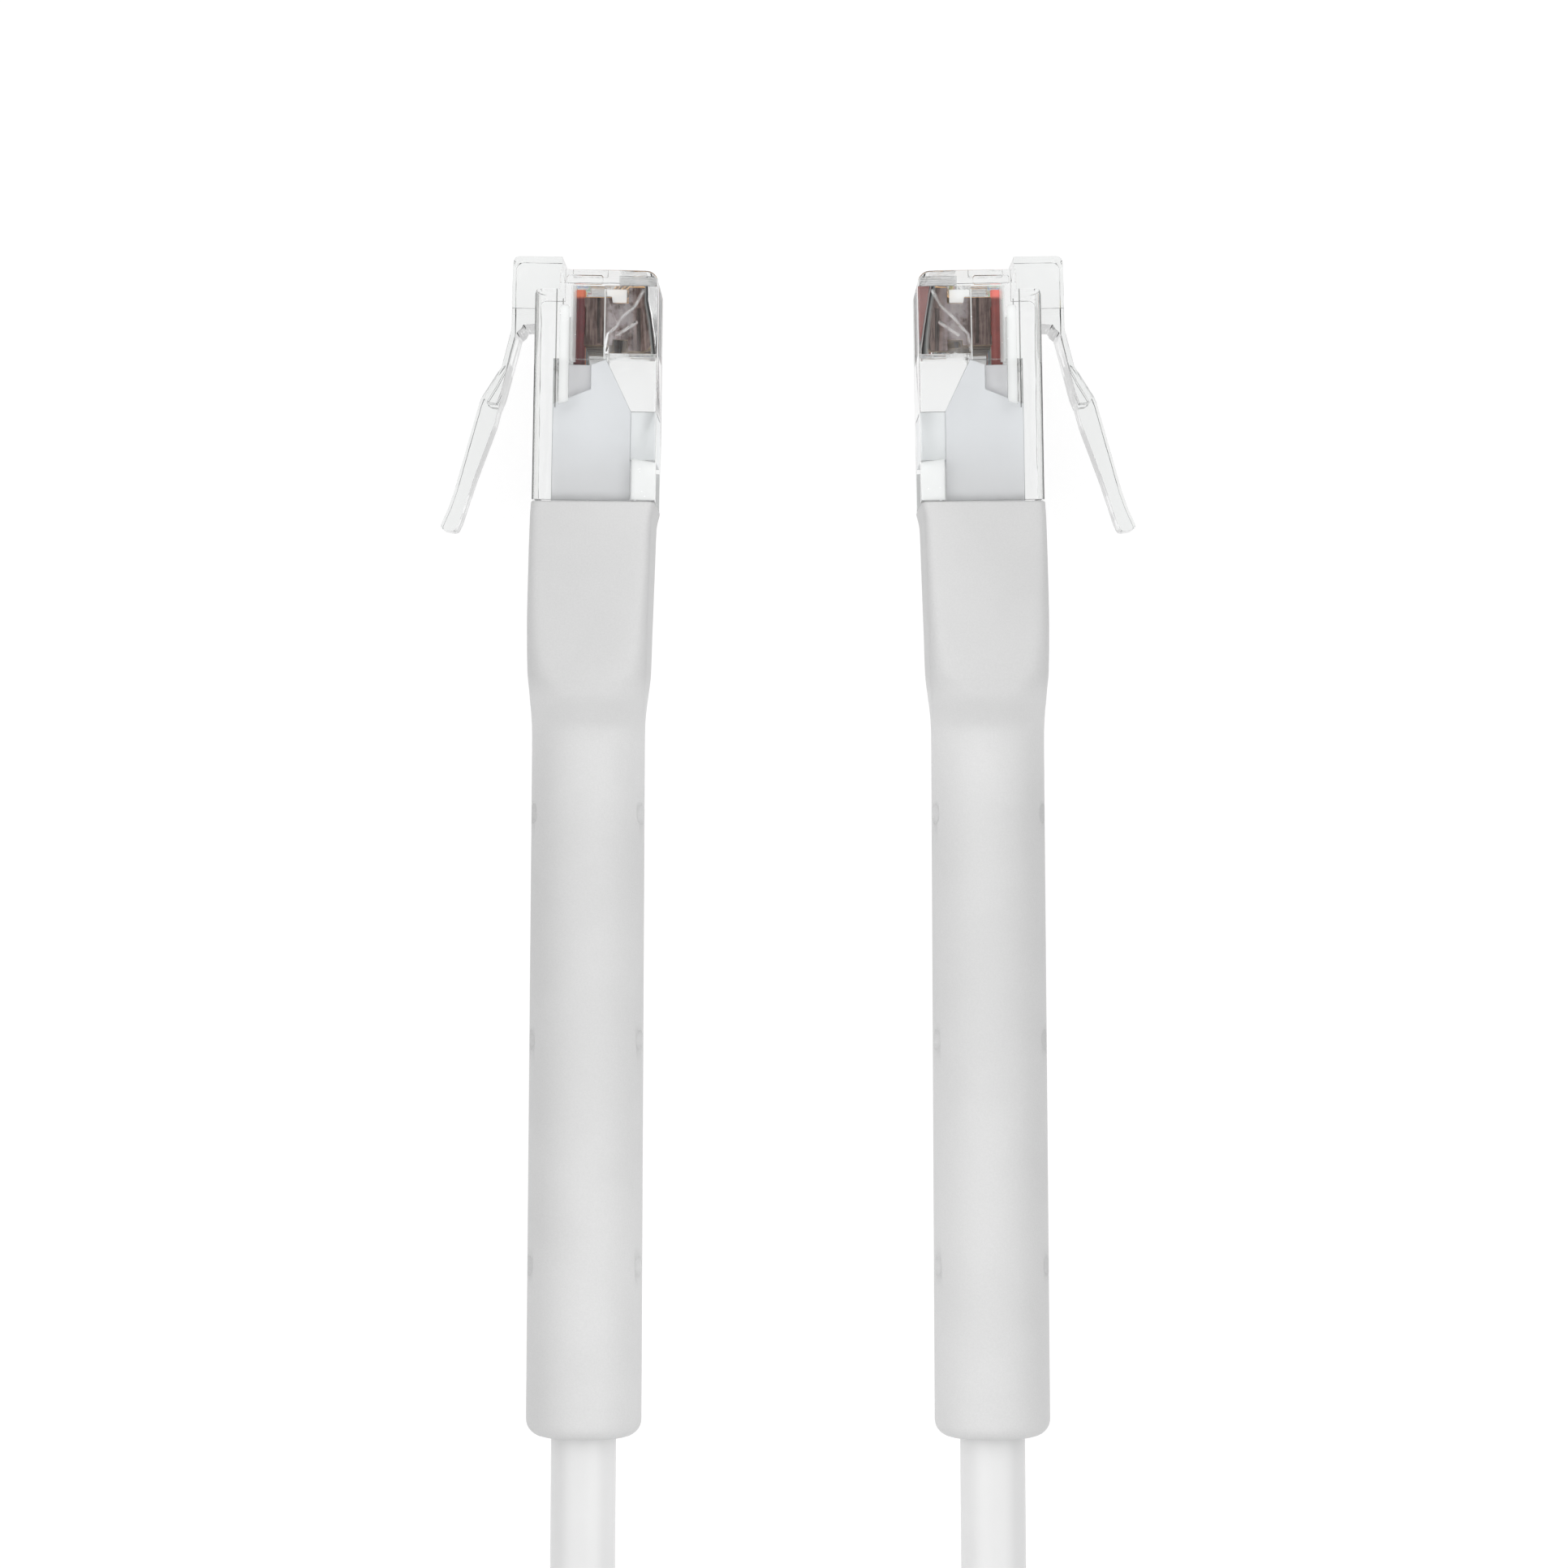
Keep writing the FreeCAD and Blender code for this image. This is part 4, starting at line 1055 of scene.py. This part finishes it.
# The plug's materials in the order of their slots
PLUG_WALL, THICK, INSIDE, LATCH_RIM_PAINTED_DARK, FROST, RIBS_PAINTED_DARK, HAZE, LOW_RIM_PAINTED_SHADE = range(8)


def plug_frame(side):
    """The plug's frame: its origin on the contact face at the nose, the plug towards -X and -Y."""
    ends = settings().ends
    mouth = Matrix.Translation((ends.plug_offset, settings().boot.length, 0))
    lean = Matrix.Rotation(-ends.plug_lean, 4, "Z")
    return end_frame(side) @ mouth @ lean @ Matrix.Translation((ends.plug_height / 2, ends.exposed, 0))


def plug_openings():
    """The seats of lever and pad and the slots' noses, which the CAD's plug doesn't have."""
    tool = bmesh.new()
    half = settings().clear.root_width / MM / 2 + WEB_ROOM
    prism(tool, WEB_SEAT, -half, half)
    prism(tool, PAD_SEAT, -PAD_SEAT_HALF, PAD_SEAT_HALF)
    for number in range(CONTACTS):
        across = (number - (CONTACTS - 1) / 2) * CONTACT_PITCH
        prism(tool, SLOT_NOSE, across - SLOT_HALF, across + SLOT_HALF)
    return tool


def plug_marks():
    """The shallow recesses and mould lines in the plug's sides."""
    tool = bmesh.new()
    for outline in RECESSES + (NOSE_RECESS,):
        for sign in (-1, 1):
            inner = PLUG_HALF - (LINE_DEPTH if outline in SHALLOW else RECESS_DEPTH)
            low, high = sorted((sign * inner, sign * (PLUG_HALF + RECESS_DEPTH)))
            prism(tool, outline, low, high)
    return tool


def spot_of(point):
    """A place in the plug's frame as its depth, its distance behind the nose and outwards, in millimetres."""
    place = point / MM
    return -place.x, -place.y, abs(place.z)


def edge_spot(edge):
    return spot_of((edge.verts[0].co + edge.verts[1].co) / 2)


def in_outline(outline, spot):
    """Whether a place lies in one of the shallow recesses of the plug's sides."""
    depth, behind, across = spot
    depths = [corner[0] for corner in outline]
    lengths = [corner[1] for corner in outline]
    return (
        PLUG_HALF - RECESS_DEPTH - TIGHT < across < PLUG_HALF + TIGHT
        and min(depths) - TIGHT < depth < max(depths) + TIGHT
        and min(lengths) - TIGHT < behind < max(lengths) + TIGHT
    )


def is_inside(spot, least_depth):
    """Whether a place lies within the plug's outer walls."""
    depth, behind, across = spot
    return across < PLUG_HALF - SIDE_WALL and least_depth < depth < INNER_DEPTH and behind > NOSE_WALL


def before_boot(spot):
    return spot[1] <= settings().ends.exposed / MM - BOOT_ROOM


def long_edges(work, upper):
    """The long edges beside the latch, on the upper side alone, and those beside the contacts."""
    beside_latch = []
    beside_contacts = []
    for edge in sharp_edges(work):
        spot = edge_spot(edge)
        depth, behind, across = spot
        on_side = all(abs(abs(v.co.z) / MM - PLUG_HALF) < NEAR for v in edge.verts)
        if not on_side or not before_boot(spot):
            continue
        if depth > LATCH_CORNER and edge.verts[0].co.z * upper > 0:
            beside_latch.append(edge)
        elif depth < NOSE_CORNER and (depth < NEAR or behind < NOSE_REACH):
            beside_contacts.append(edge)
    return beside_latch, beside_contacts


def slot_mouths(work):
    """The long edges of the contact slots' mouths."""
    first, last = MOUTH_SPAN
    mouths = []
    for edge in sharp_edges(work):
        depth, behind, across = edge_spot(edge)
        way = edge.verts[0].co - edge.verts[1].co
        in_row = across < ROW_HALF and depth < NEAR and first < behind < last
        if in_row and abs(way.y) > abs(way.z):
            mouths.append(edge)
    return mouths


def fine_edges(work):
    """The sharp edges to be seen from outside, without the recesses' and the one at the latch's seat."""
    fine = []
    for edge in sharp_edges(work):
        spot = edge_spot(edge)
        at_seat = spot[0] > LATCH_FACE + NEAR and abs(spot[1] - WEB_FRONT) < TIGHT
        marked = any(in_outline(outline, spot) for outline in RECESSES)
        if before_boot(spot) and not (is_inside(spot, -TIGHT) or marked or at_seat):
            fine.append(edge)
    return fine


def plug_material(face):
    """The slot of the material that a face of the plug takes by its place."""
    spot = spot_of(face.calc_center_median())
    depth, behind, across = spot
    first, last = RIBS_SPAN
    rounding = settings().clear.latch_edge / MM
    if depth > LATCH_FACE + NEAR or behind < -NEAR:
        return THICK
    # Painted shade: the smooth faces of the ribs take the ribs' dark tint
    if face.smooth and across < RIBS_HALF and depth < SLOT_MOUTH and first < behind < last:
        return RIBS_PAINTED_DARK
    if is_inside(spot, NEAR):
        return INSIDE
    if across >= PLUG_HALF - SKIN:
        return PLUG_WALL
    if any(in_outline(outline, spot) for outline in FROSTED):
        return FROST
    if in_outline(HAZY_STRIP, spot):
        return HAZE
    # The mould line in the wall takes the rim's painted dark tint
    if in_outline(WALL_LINE, spot):
        return LATCH_RIM_PAINTED_DARK
    # Painted dark reflection on the rounding beside the latch: darkest on its outer share
    if behind > ROOT_END and depth > LATCH_FACE - rounding:
        return LATCH_RIM_PAINTED_DARK if depth > LATCH_FACE - rounding * RIM_SHARE else LOW_RIM_PAINTED_SHADE
    return PLUG_WALL


def plug_form(upper):
    """The clear plug body without its latch, in its own frame, with its upper side at +Z for 1, -Z for -1."""
    clear = settings().clear
    work = merged_copy("left_plug_housing")
    work.transform(plug_frame("left").inverted())
    filler = bmesh.new()
    prism(filler, OLD_POCKET, -OLD_POCKET_HALF, OLD_POCKET_HALF)
    work = carved(work, filler, "UNION")
    work = carved(work, plug_openings())
    tidied(work)
    beside_latch, beside_contacts = long_edges(work, upper)
    for edges, radius in (
        (slot_mouths(work), SLOT_MOUTH * MM),
        (beside_latch, clear.latch_edge),
        (beside_contacts, clear.contact_edge),
    ):
        round_over(work, edges, radius, LONG_STEPS, False)
    work = carved(work, plug_marks())
    tidied(work)
    bmesh.ops.remove_doubles(work, verts=work.verts, dist=SPECK * MM)
    round_over(work, fine_edges(work), clear.edge, clamp=False)
    for face in work.faces:
        face.material_index = plug_material(face)
    return work


def lever_form():
    """The sprung lever with its web and its share of the root, in the plug's frame."""
    clear = settings().clear
    angle = clear.lever_angle
    height = clear.hinge_height / MM
    behind = clear.hinge_behind / MM

    def from_plug(point):
        depth = point[0] - height
        along = point[1] - behind
        return (
            depth * math.cos(angle) - along * math.sin(angle),
            depth * math.sin(angle) + along * math.cos(angle),
        )

    web = [from_plug(point) for point in WEB_ROOT] + list(ARM) + [from_plug(point) for point in WEB_FOOT]
    work = bmesh.new()
    half = clear.root_width / MM / 2
    prism(work, web, -half, half)
    arm = bmesh.new()
    half = clear.lever_width / MM / 2
    prism(arm, LEVER, -half, half)
    work = carved(work, arm, "UNION")
    tidied(work)
    start = [Vector((-depth * MM, -behind * MM)) for depth, behind in (web[0], web[-1])]

    def at_start(vertex):
        return abs((vertex.co.xy - start[0]).cross((start[1] - start[0]).normalized())) < MERGE

    edges = [e for e in sharp_edges(work) if not all(at_start(v) for v in e.verts)]
    round_over(work, edges, clear.lever_edge)
    hinge = Matrix.Translation((-clear.hinge_height, -clear.hinge_behind, 0))
    work.transform(hinge @ Matrix.Rotation(-angle, 4, "Z"))
    return work


# Cable
LEFT_ROUTE = ((-11.063, -36.9, 5.95), (-11.11, -43.2, 5.95), (-13.3, -49.8, 4.0))
RIGHT_ROUTE = ((11.063, -36.9, 5.95), (11.11, -43.2, 5.95), (13.3, -49.8, 6.15))
LAST_RUN = 6.6
# The climb between the layers takes one of these parts of the coil to each side of its middle
CLIMB_PARTS = 28
# The step that finds the direction of travel, and the order and fineness of the cable's line
TURN_STEP = 0.001
CORD_ORDER = 3
CORD_STEPS = 12
CORD_ROUND = 8


def coil_turn():
    cable = settings().cable
    return cable.turns * 2 * math.pi + math.pi - 2 * cable.entry


def coil_point(turn, swell=1.0):
    """The coil's middle line, in along the lower layer and out along the upper one."""
    cable = settings().cable
    away = turn - coil_turn() / 2
    radius = (cable.inner_radius + cable.pitch * abs(away) / (2 * math.pi)) * swell
    climb = coil_turn() / CLIMB_PARTS
    share = max(-1.0, min(1.0, away / climb))
    angle = cable.entry + turn
    centre_y = -settings().ends.tail - cable.distance
    height = cable.low_layer + cable.rise * (1 + share) / 2
    return Vector((radius * math.cos(angle), centre_y + radius * math.sin(angle), height))


def coil_way(turn):
    """The direction of travel at one place of the coil."""
    return (coil_point(turn + TURN_STEP) - coil_point(turn - TURN_STEP)).normalized()


def cable_points():
    """Control points of the whole free cable, from the left boot to the right one."""
    cable = settings().cable
    total = coil_turn()
    exits = [end_frame(side).translation for side in SIDES]
    starts = []
    for turn, sense in ((0.0, -1), (total, 1)):
        stub = coil_point(turn) + coil_way(turn) * sense * cable.diameter
        starts.append((stub, stub + coil_way(turn) * sense * LAST_RUN * MM))
    points = [exits[0]] + [Vector(p) * MM for p in LEFT_ROUTE] + [starts[0][1], starts[0][0]]
    # A line of order 3 runs inside its control points, so they stand out by this share of the radius
    swell = 4 / (3 + math.cos(total / cable.points))
    for index in range(cable.points + 1):
        points.append(coil_point(total * index / cable.points, swell))
    points += [starts[1][0], starts[1][1]] + [Vector(p) * MM for p in reversed(RIGHT_ROUTE)]
    return points + [exits[1]]


def cable_curve():
    """The free cable as one NURBS line with a round section."""
    curve = bpy.data.curves.new("patch_cable", "CURVE")
    curve.dimensions = "3D"
    points = cable_points()
    spline = curve.splines.new("NURBS")
    spline.points.add(len(points) - 1)
    for place, point in zip(spline.points, points):
        place.co = (*point, 1.0)
    spline.order_u = CORD_ORDER
    spline.use_endpoint_u = True
    spline.use_smooth = True
    spline.resolution_u = CORD_STEPS
    curve.bevel_depth = settings().cable.diameter / 2
    curve.bevel_resolution = CORD_ROUND
    piece = bpy.data.objects.new("patch_cable", curve)
    bpy.context.scene.collection.objects.link(piece)
    curve.materials.append(jacket_vinyl())
    return piece


# Points once round the coil, where the strap starts on them, and how many it takes to climb over itself
STRAP_STEPS = 200
STRAP_START = 44
STRAP_CLIMB = 16
# How far the strap's middle line lies inside the tie's outside, in layers: over itself and beneath
STRAP_OVER = 0.55
STRAP_BENEATH = 1.6
STRAP_END_ROUND = 0.3
# The strap's section: which edge a point belongs to, and its place on that edge's rounding
STRAP_SECTION = (
    (1, (0, -1)), (1, (0.7, -0.7)), (1, (1, 0)), (1, (0.7, 0.7)), (1, (0, 1)), (0, (0, 1)),
    (-1, (0, 1)), (-1, (-0.7, 0.7)), (-1, (-1, 0)), (-1, (-0.7, -0.7)), (-1, (0, -1)), (0, (0, -1)),
)


def strap_loop(inset):
    """Points round the coil's section, this far inside the tie's outer size."""
    low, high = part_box("coil_tie")
    middle = (low.z + high.z) / 2
    half = (high.z - low.z) / 2 - inset
    corner = settings().tie.corner - inset
    places = section(STRAP_STEPS, low.y + inset, high.y - inset, half, corner)
    return [Vector((0, y, z + middle)) for y, z in places]


def strap_way():
    """The strap's middle line: once round the coil and on over its own start."""
    tie = settings().tie
    outer = strap_loop(tie.layer * STRAP_OVER)
    inner = strap_loop(tie.layer * STRAP_BENEATH)
    step = sum((b - a).length for a, b in zip(outer, outer[1:])) / (STRAP_STEPS - 1)
    points = []
    for index in range(STRAP_STEPS + round(tie.overlap / step)):
        spot = (STRAP_START + index) % STRAP_STEPS
        climb = min(max((index - STRAP_STEPS + STRAP_CLIMB) / STRAP_CLIMB, 0.0), 1.0)
        climb *= climb * (3 - 2 * climb)
        points.append(inner[spot].lerp(outer[spot], climb))
    return points


def strap_form():
    """The strap's closed skin, with a rounded end."""
    tie = settings().tie
    way = strap_way()
    half = tie.layer / 2
    rounding = tie.width * STRAP_END_ROUND
    left = sum((b - a).length for a, b in zip(way, way[1:]))
    stations = []
    for index, point in enumerate(way):
        before = way[max(index - 1, 0)]
        after = way[min(index + 1, len(way) - 1)]
        along = (after - before).normalized()
        out = Vector((0, along.z, -along.y))
        short = max(rounding - left, 0.0)
        side = tie.width / 2 - rounding + math.sqrt(max(rounding ** 2 - short ** 2, 0.0))
        ring = []
        for across, (sideways, outwards) in STRAP_SECTION:
            edge = point + Vector((across * (side - half), 0, 0))
            ring.append(edge + Vector((sideways * half, 0, 0)) + out * outwards * half)
        stations.append(ring)
        if index + 1 < len(way):
            left -= (way[index + 1] - point).length
    work = bmesh.new()
    swept_ring(work, len(STRAP_SECTION), stations)
    bmesh.ops.holes_fill(work, edges=[e for e in work.edges if e.is_boundary], sides=0)
    bmesh.ops.recalc_face_normals(work, faces=work.faces)
    for face in work.faces:
        face.smooth = True
    return work


SHARED = {}


def shared(material_maker):
    """One material for all the pieces that share a finish."""
    if material_maker not in SHARED:
        SHARED[material_maker] = material_maker()
    return SHARED[material_maker]


# Sines of the heights between which the ring of light comes up and goes out
RING_FOOT = (0.14, 0.54)
RING_TOP = (0.87, 0.95)
BOUNCES = 24
SENSOR_WIDTH = 36.0
CLIP_START = 0.01
FLOOR_CELLS = 4


# Operators
class PATCHCABLE_OT_stage(bpy.types.Operator):
    """Set up the pale table, the soft light and the camera straight above"""
    bl_idname = "patch_cable.stage"
    bl_label = "Stage"

    def execute(self, context):
        studio = settings().studio
        ends = settings().ends
        scene = context.scene
        scene.view_settings.view_transform = "Standard"
        scene.cycles.max_bounces = BOUNCES
        scene.cycles.transmission_bounces = BOUNCES
        scene.cycles.blur_glossy = 0.0
        work = bmesh.new()
        half = studio.floor_size / 2
        bmesh.ops.create_grid(work, x_segments=FLOOR_CELLS, y_segments=FLOOR_CELLS, size=half)
        table = plain_object("table", work)
        table.data.materials.append(table_top())
        camera = bpy.data.cameras.new("camera")
        camera.sensor_width = SENSOR_WIDTH
        camera.lens = SENSOR_WIDTH * studio.distance / studio.view_width
        camera.shift_x = studio.shift
        camera.clip_start = CLIP_START
        holder = bpy.data.objects.new("camera", camera)
        holder.location = (0, studio.forward, ends.axis_height + studio.distance)
        scene.collection.objects.link(holder)
        scene.camera = holder
        self.hang_lamp(scene, studio)
        scene.world = scene.world or bpy.data.worlds.new("studio")
        self.light(scene.world, studio)
        return {"FINISHED"}

    def hang_lamp(self, scene, studio):
        """A narrow soft lamp over the gap, which lights the boots' inner flanks a little more."""
        lamp = bpy.data.lights.new("gap_lamp", "AREA")
        lamp.shape = "RECTANGLE"
        lamp.size = studio.lamp_width
        lamp.size_y = studio.lamp_length
        lamp.energy = studio.lamp_power
        holder = bpy.data.objects.new("gap_lamp", lamp)
        holder.location = (0, studio.lamp_forward, studio.lamp_height)
        holder.visible_camera = False
        holder.visible_glossy = False
        holder.visible_transmission = False
        scene.collection.objects.link(holder)

    def light(self, world, studio):
        """A broad ring of soft light, dim overhead and near the table."""
        made = Recipe("studio", world)
        up = made.part(made.add("ShaderNodeTexCoord", output="Generated"), "Z")
        rising = up.within(*RING_FOOT) * (studio.ring - studio.horizon)
        fading = up.within(*RING_TOP) * (studio.ring - studio.zenith)
        bright = rising - fading + studio.horizon
        shader = made.add("ShaderNodeBackground", None, {"Color": WHITE, "Strength": bright})
        made.finish(shader, "ShaderNodeOutputWorld")


class PATCHCABLE_OT_cable(bpy.types.Operator):
    """Lay the free cable as one smooth line through its coil"""
    bl_idname = "patch_cable.cable"
    bl_label = "Cable"

    def execute(self, context):
        piece = cable_curve()
        hand_over(piece, "root", "cable_jacket", ("cable_run_left", "cable_coil", "cable_run_right"))
        return {"FINISHED"}


class PATCHCABLE_OT_tie(bpy.types.Operator):
    """Wrap the woven strap round the coil"""
    bl_idname = "patch_cable.tie"
    bl_label = "Tie"

    def execute(self, context):
        add_piece("coil_strap", strap_form(), loop_strap(), "root", "tie_white", ("coil_tie",))
        return {"FINISHED"}


class PATCHCABLE_OT_boots(bpy.types.Operator):
    """Model the long boots with their shoulders and grip pits"""
    bl_idname = "patch_cable.boots"
    bl_label = "Boots"

    def execute(self, context):
        form = boot_form()
        for side in SIDES:
            work = form.copy()
            work.transform(end_frame(side))
            vinyl = shared(boot_vinyl)
            add_piece(side + "_moulded_boot", work, vinyl, "root", "boot_grey", (side + "_boot",))
        form.free()
        return {"FINISHED"}


class PATCHCABLE_OT_housings(bpy.types.Operator):
    """Finish the clear plug bodies with their recesses and rounded edges"""
    bl_idname = "patch_cable.housings"
    bl_label = "Clear plugs"

    def execute(self, context):
        clear = settings().clear
        walls = wall_plastic()
        # The rim and low rim materials carry painted dark reflection in their tints
        others = (
            shared(thick_plastic),
            clear_plastic("clear_inside", (1, 1, 1)),
            clear_plastic("clear_rim_painted_dark", clear.rim),
            frosted_plastic("clear_frosted", FROST_CLEARNESS),
            # The ribs' material carries painted shade in its dark tint
            clear_plastic("clear_ribs_painted_dark", clear.ribs),
            frosted_plastic("clear_hazy", HAZE_CLEARNESS),
            clear_plastic("clear_low_rim_painted_shade", clear.low_rim_painted_shade),
        )
        for side, upper in zip(SIDES, (1, -1)):
            work = plug_form(upper)
            work.transform(plug_frame(side))
            node = side + "_plug_housing"
            piece = add_piece(side + "_clear_plug", work, walls, "root", "clear_plastic", (node,))
            for material in others:
                piece.data.materials.append(material)
        return {"FINISHED"}


class PATCHCABLE_OT_levers(bpy.types.Operator):
    """Model the sprung levers with the web that joins them to their plugs"""
    bl_idname = "patch_cable.levers"
    bl_label = "Latch levers"

    def execute(self, context):
        form = lever_form()
        for side in SIDES:
            place = plug_frame(side)
            work = form.copy()
            work.transform(place)
            piece = new_piece(side + "_clear_lever", work, shared(thick_plastic))
            start, end = (
                tuple(place @ (Vector((-depth, -behind, 0)) * MM)) for depth, behind in (BEND_START, BEND_END)
            )
            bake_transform(piece)
            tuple(start)
            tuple(end)
            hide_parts(side + "_latch_lever")
        form.free()
        return {"FINISHED"}


class PATCHCABLE_OT_contacts(bpy.types.Operator):
    """Finish the punched contact blades"""
    bl_idname = "patch_cable.contacts"
    bl_label = "Contacts"

    def execute(self, context):
        edge = settings().clear.blade_edge
        for side in SIDES:
            for number in range(1, CONTACTS + 1):
                node = "%s_contact_%d" % (side, number)
                work = softened(node, edge)
                name = "%s_blade_%d" % (side, number)
                add_piece(name, work, shared(bronze_painted_highlights), "root", "gilded_contact", (node,))
        return {"FINISHED"}


class PATCHCABLE_OT_wires(bpy.types.Operator):
    """Colour the eight wires of each plug and their copper cores"""
    bl_idname = "patch_cable.wires"
    bl_label = "Wires"

    def execute(self, context):
        colours = {name: insulation(name) for name in INSULATION}
        copper = bare_copper()
        jacket = jacket_vinyl()
        for side in SIDES:
            for number, name in enumerate(INSULATION, 1):
                dress("%s_wire_%d" % (side, number), colours[name])
            dress(side + "_wire_cores", copper)
            dress(side + "_cable_jacket", jacket)
        return {"FINISHED"}


PAD_MATERIAL = 1


class PATCHCABLE_OT_fillings(bpy.types.Operator):
    """Set the milky filling and the wire comb into the clear plugs"""
    bl_idname = "patch_cable.fillings"
    bl_label = "Fillings"

    def execute(self, context):
        clear = settings().clear
        filling = milky("milky_filling", clear.filling, clear.deep_filling)
        pad = milky("milky_pad", clear.pad)
        comb = milky("milky_comb", clear.comb)
        for side in SIDES:
            for part, name, material, slot in (
                ("inner_mould", "filling", filling, "milky_filling"),
                ("load_bar", "wire_comb", comb, "clear_bar"),
            ):
                node = "%s_%s" % (side, part)
                work = softened(node, clear.edge)
                self.shrink(work, clear.shrink)
                if part == "inner_mould":
                    self.add_pad(work, side)
                piece = add_piece("%s_%s" % (side, name), work, material, "root", slot, (node,))
                piece.data.materials.append(pad)
        return {"FINISHED"}

    def add_pad(self, work, side):
        """The filling's pad in the front of the clamp's recess."""
        pad = bmesh.new()
        prism(pad, PAD, -PAD_HALF, PAD_HALF)
        round_over(pad, sharp_edges(pad), settings().clear.edge)
        pad.transform(plug_frame(side))
        for face in pad.faces:
            face.material_index = PAD_MATERIAL
        mesh = bpy.data.meshes.new("pad")
        pad.to_mesh(mesh)
        pad.free()
        work.from_mesh(mesh)
        bpy.data.meshes.remove(mesh)

    def shrink(self, work, gap):
        """Draw the piece in, so that no face lies in a wall's face."""
        work.normal_update()
        ways = [vertex.normal.copy() for vertex in work.verts]
        for vertex, way in zip(work.verts, ways):
            vertex.co -= way * gap


class PATCHCABLE_PT_panel(bpy.types.Panel):
    """The patch cable's pieces and sizes"""
    bl_idname = "PATCHCABLE_PT_panel"
    bl_label = "Patch cable"
    bl_space_type = "VIEW_3D"
    bl_region_type = "UI"
    bl_category = "Patch cable"

    def draw(self, context):
        for operator in OPERATORS:
            self.layout.operator(operator.bl_idname)
        for group in ("ends", "boot", "cable", "tie", "clear", "studio"):
            box = self.layout.box()
            box.label(text=group.capitalize())
            owner = getattr(context.scene.patch_cable, group)
            for name in owner.bl_rna.properties.keys():
                if name not in ("rna_type", "name"):
                    box.prop(owner, name)


GROUPS = (
    EndSettings, BootSettings, CableSettings, TieSettings, ClearSettings, StudioSettings,
    PatchCableSettings,
)
OPERATORS = (
    PATCHCABLE_OT_stage,
    PATCHCABLE_OT_tie,
    PATCHCABLE_OT_cable,
    PATCHCABLE_OT_boots,
    PATCHCABLE_OT_housings,
    PATCHCABLE_OT_levers,
    PATCHCABLE_OT_contacts,
    PATCHCABLE_OT_wires,
    PATCHCABLE_OT_fillings,
)


def register():
    for cls in GROUPS + OPERATORS + (PATCHCABLE_PT_panel,):
        bpy.utils.register_class(cls)
    bpy.types.Scene.patch_cable = PointerProperty(type=PatchCableSettings)


def unregister():
    del bpy.types.Scene.patch_cable
    for cls in reversed(GROUPS + OPERATORS + (PATCHCABLE_PT_panel,)):
        bpy.utils.unregister_class(cls)


def main():
    register()
    for operator in OPERATORS:
        group, name = operator.bl_idname.split(".")
        getattr(getattr(bpy.ops, group), name)()


if __name__ == "__main__":
    main()
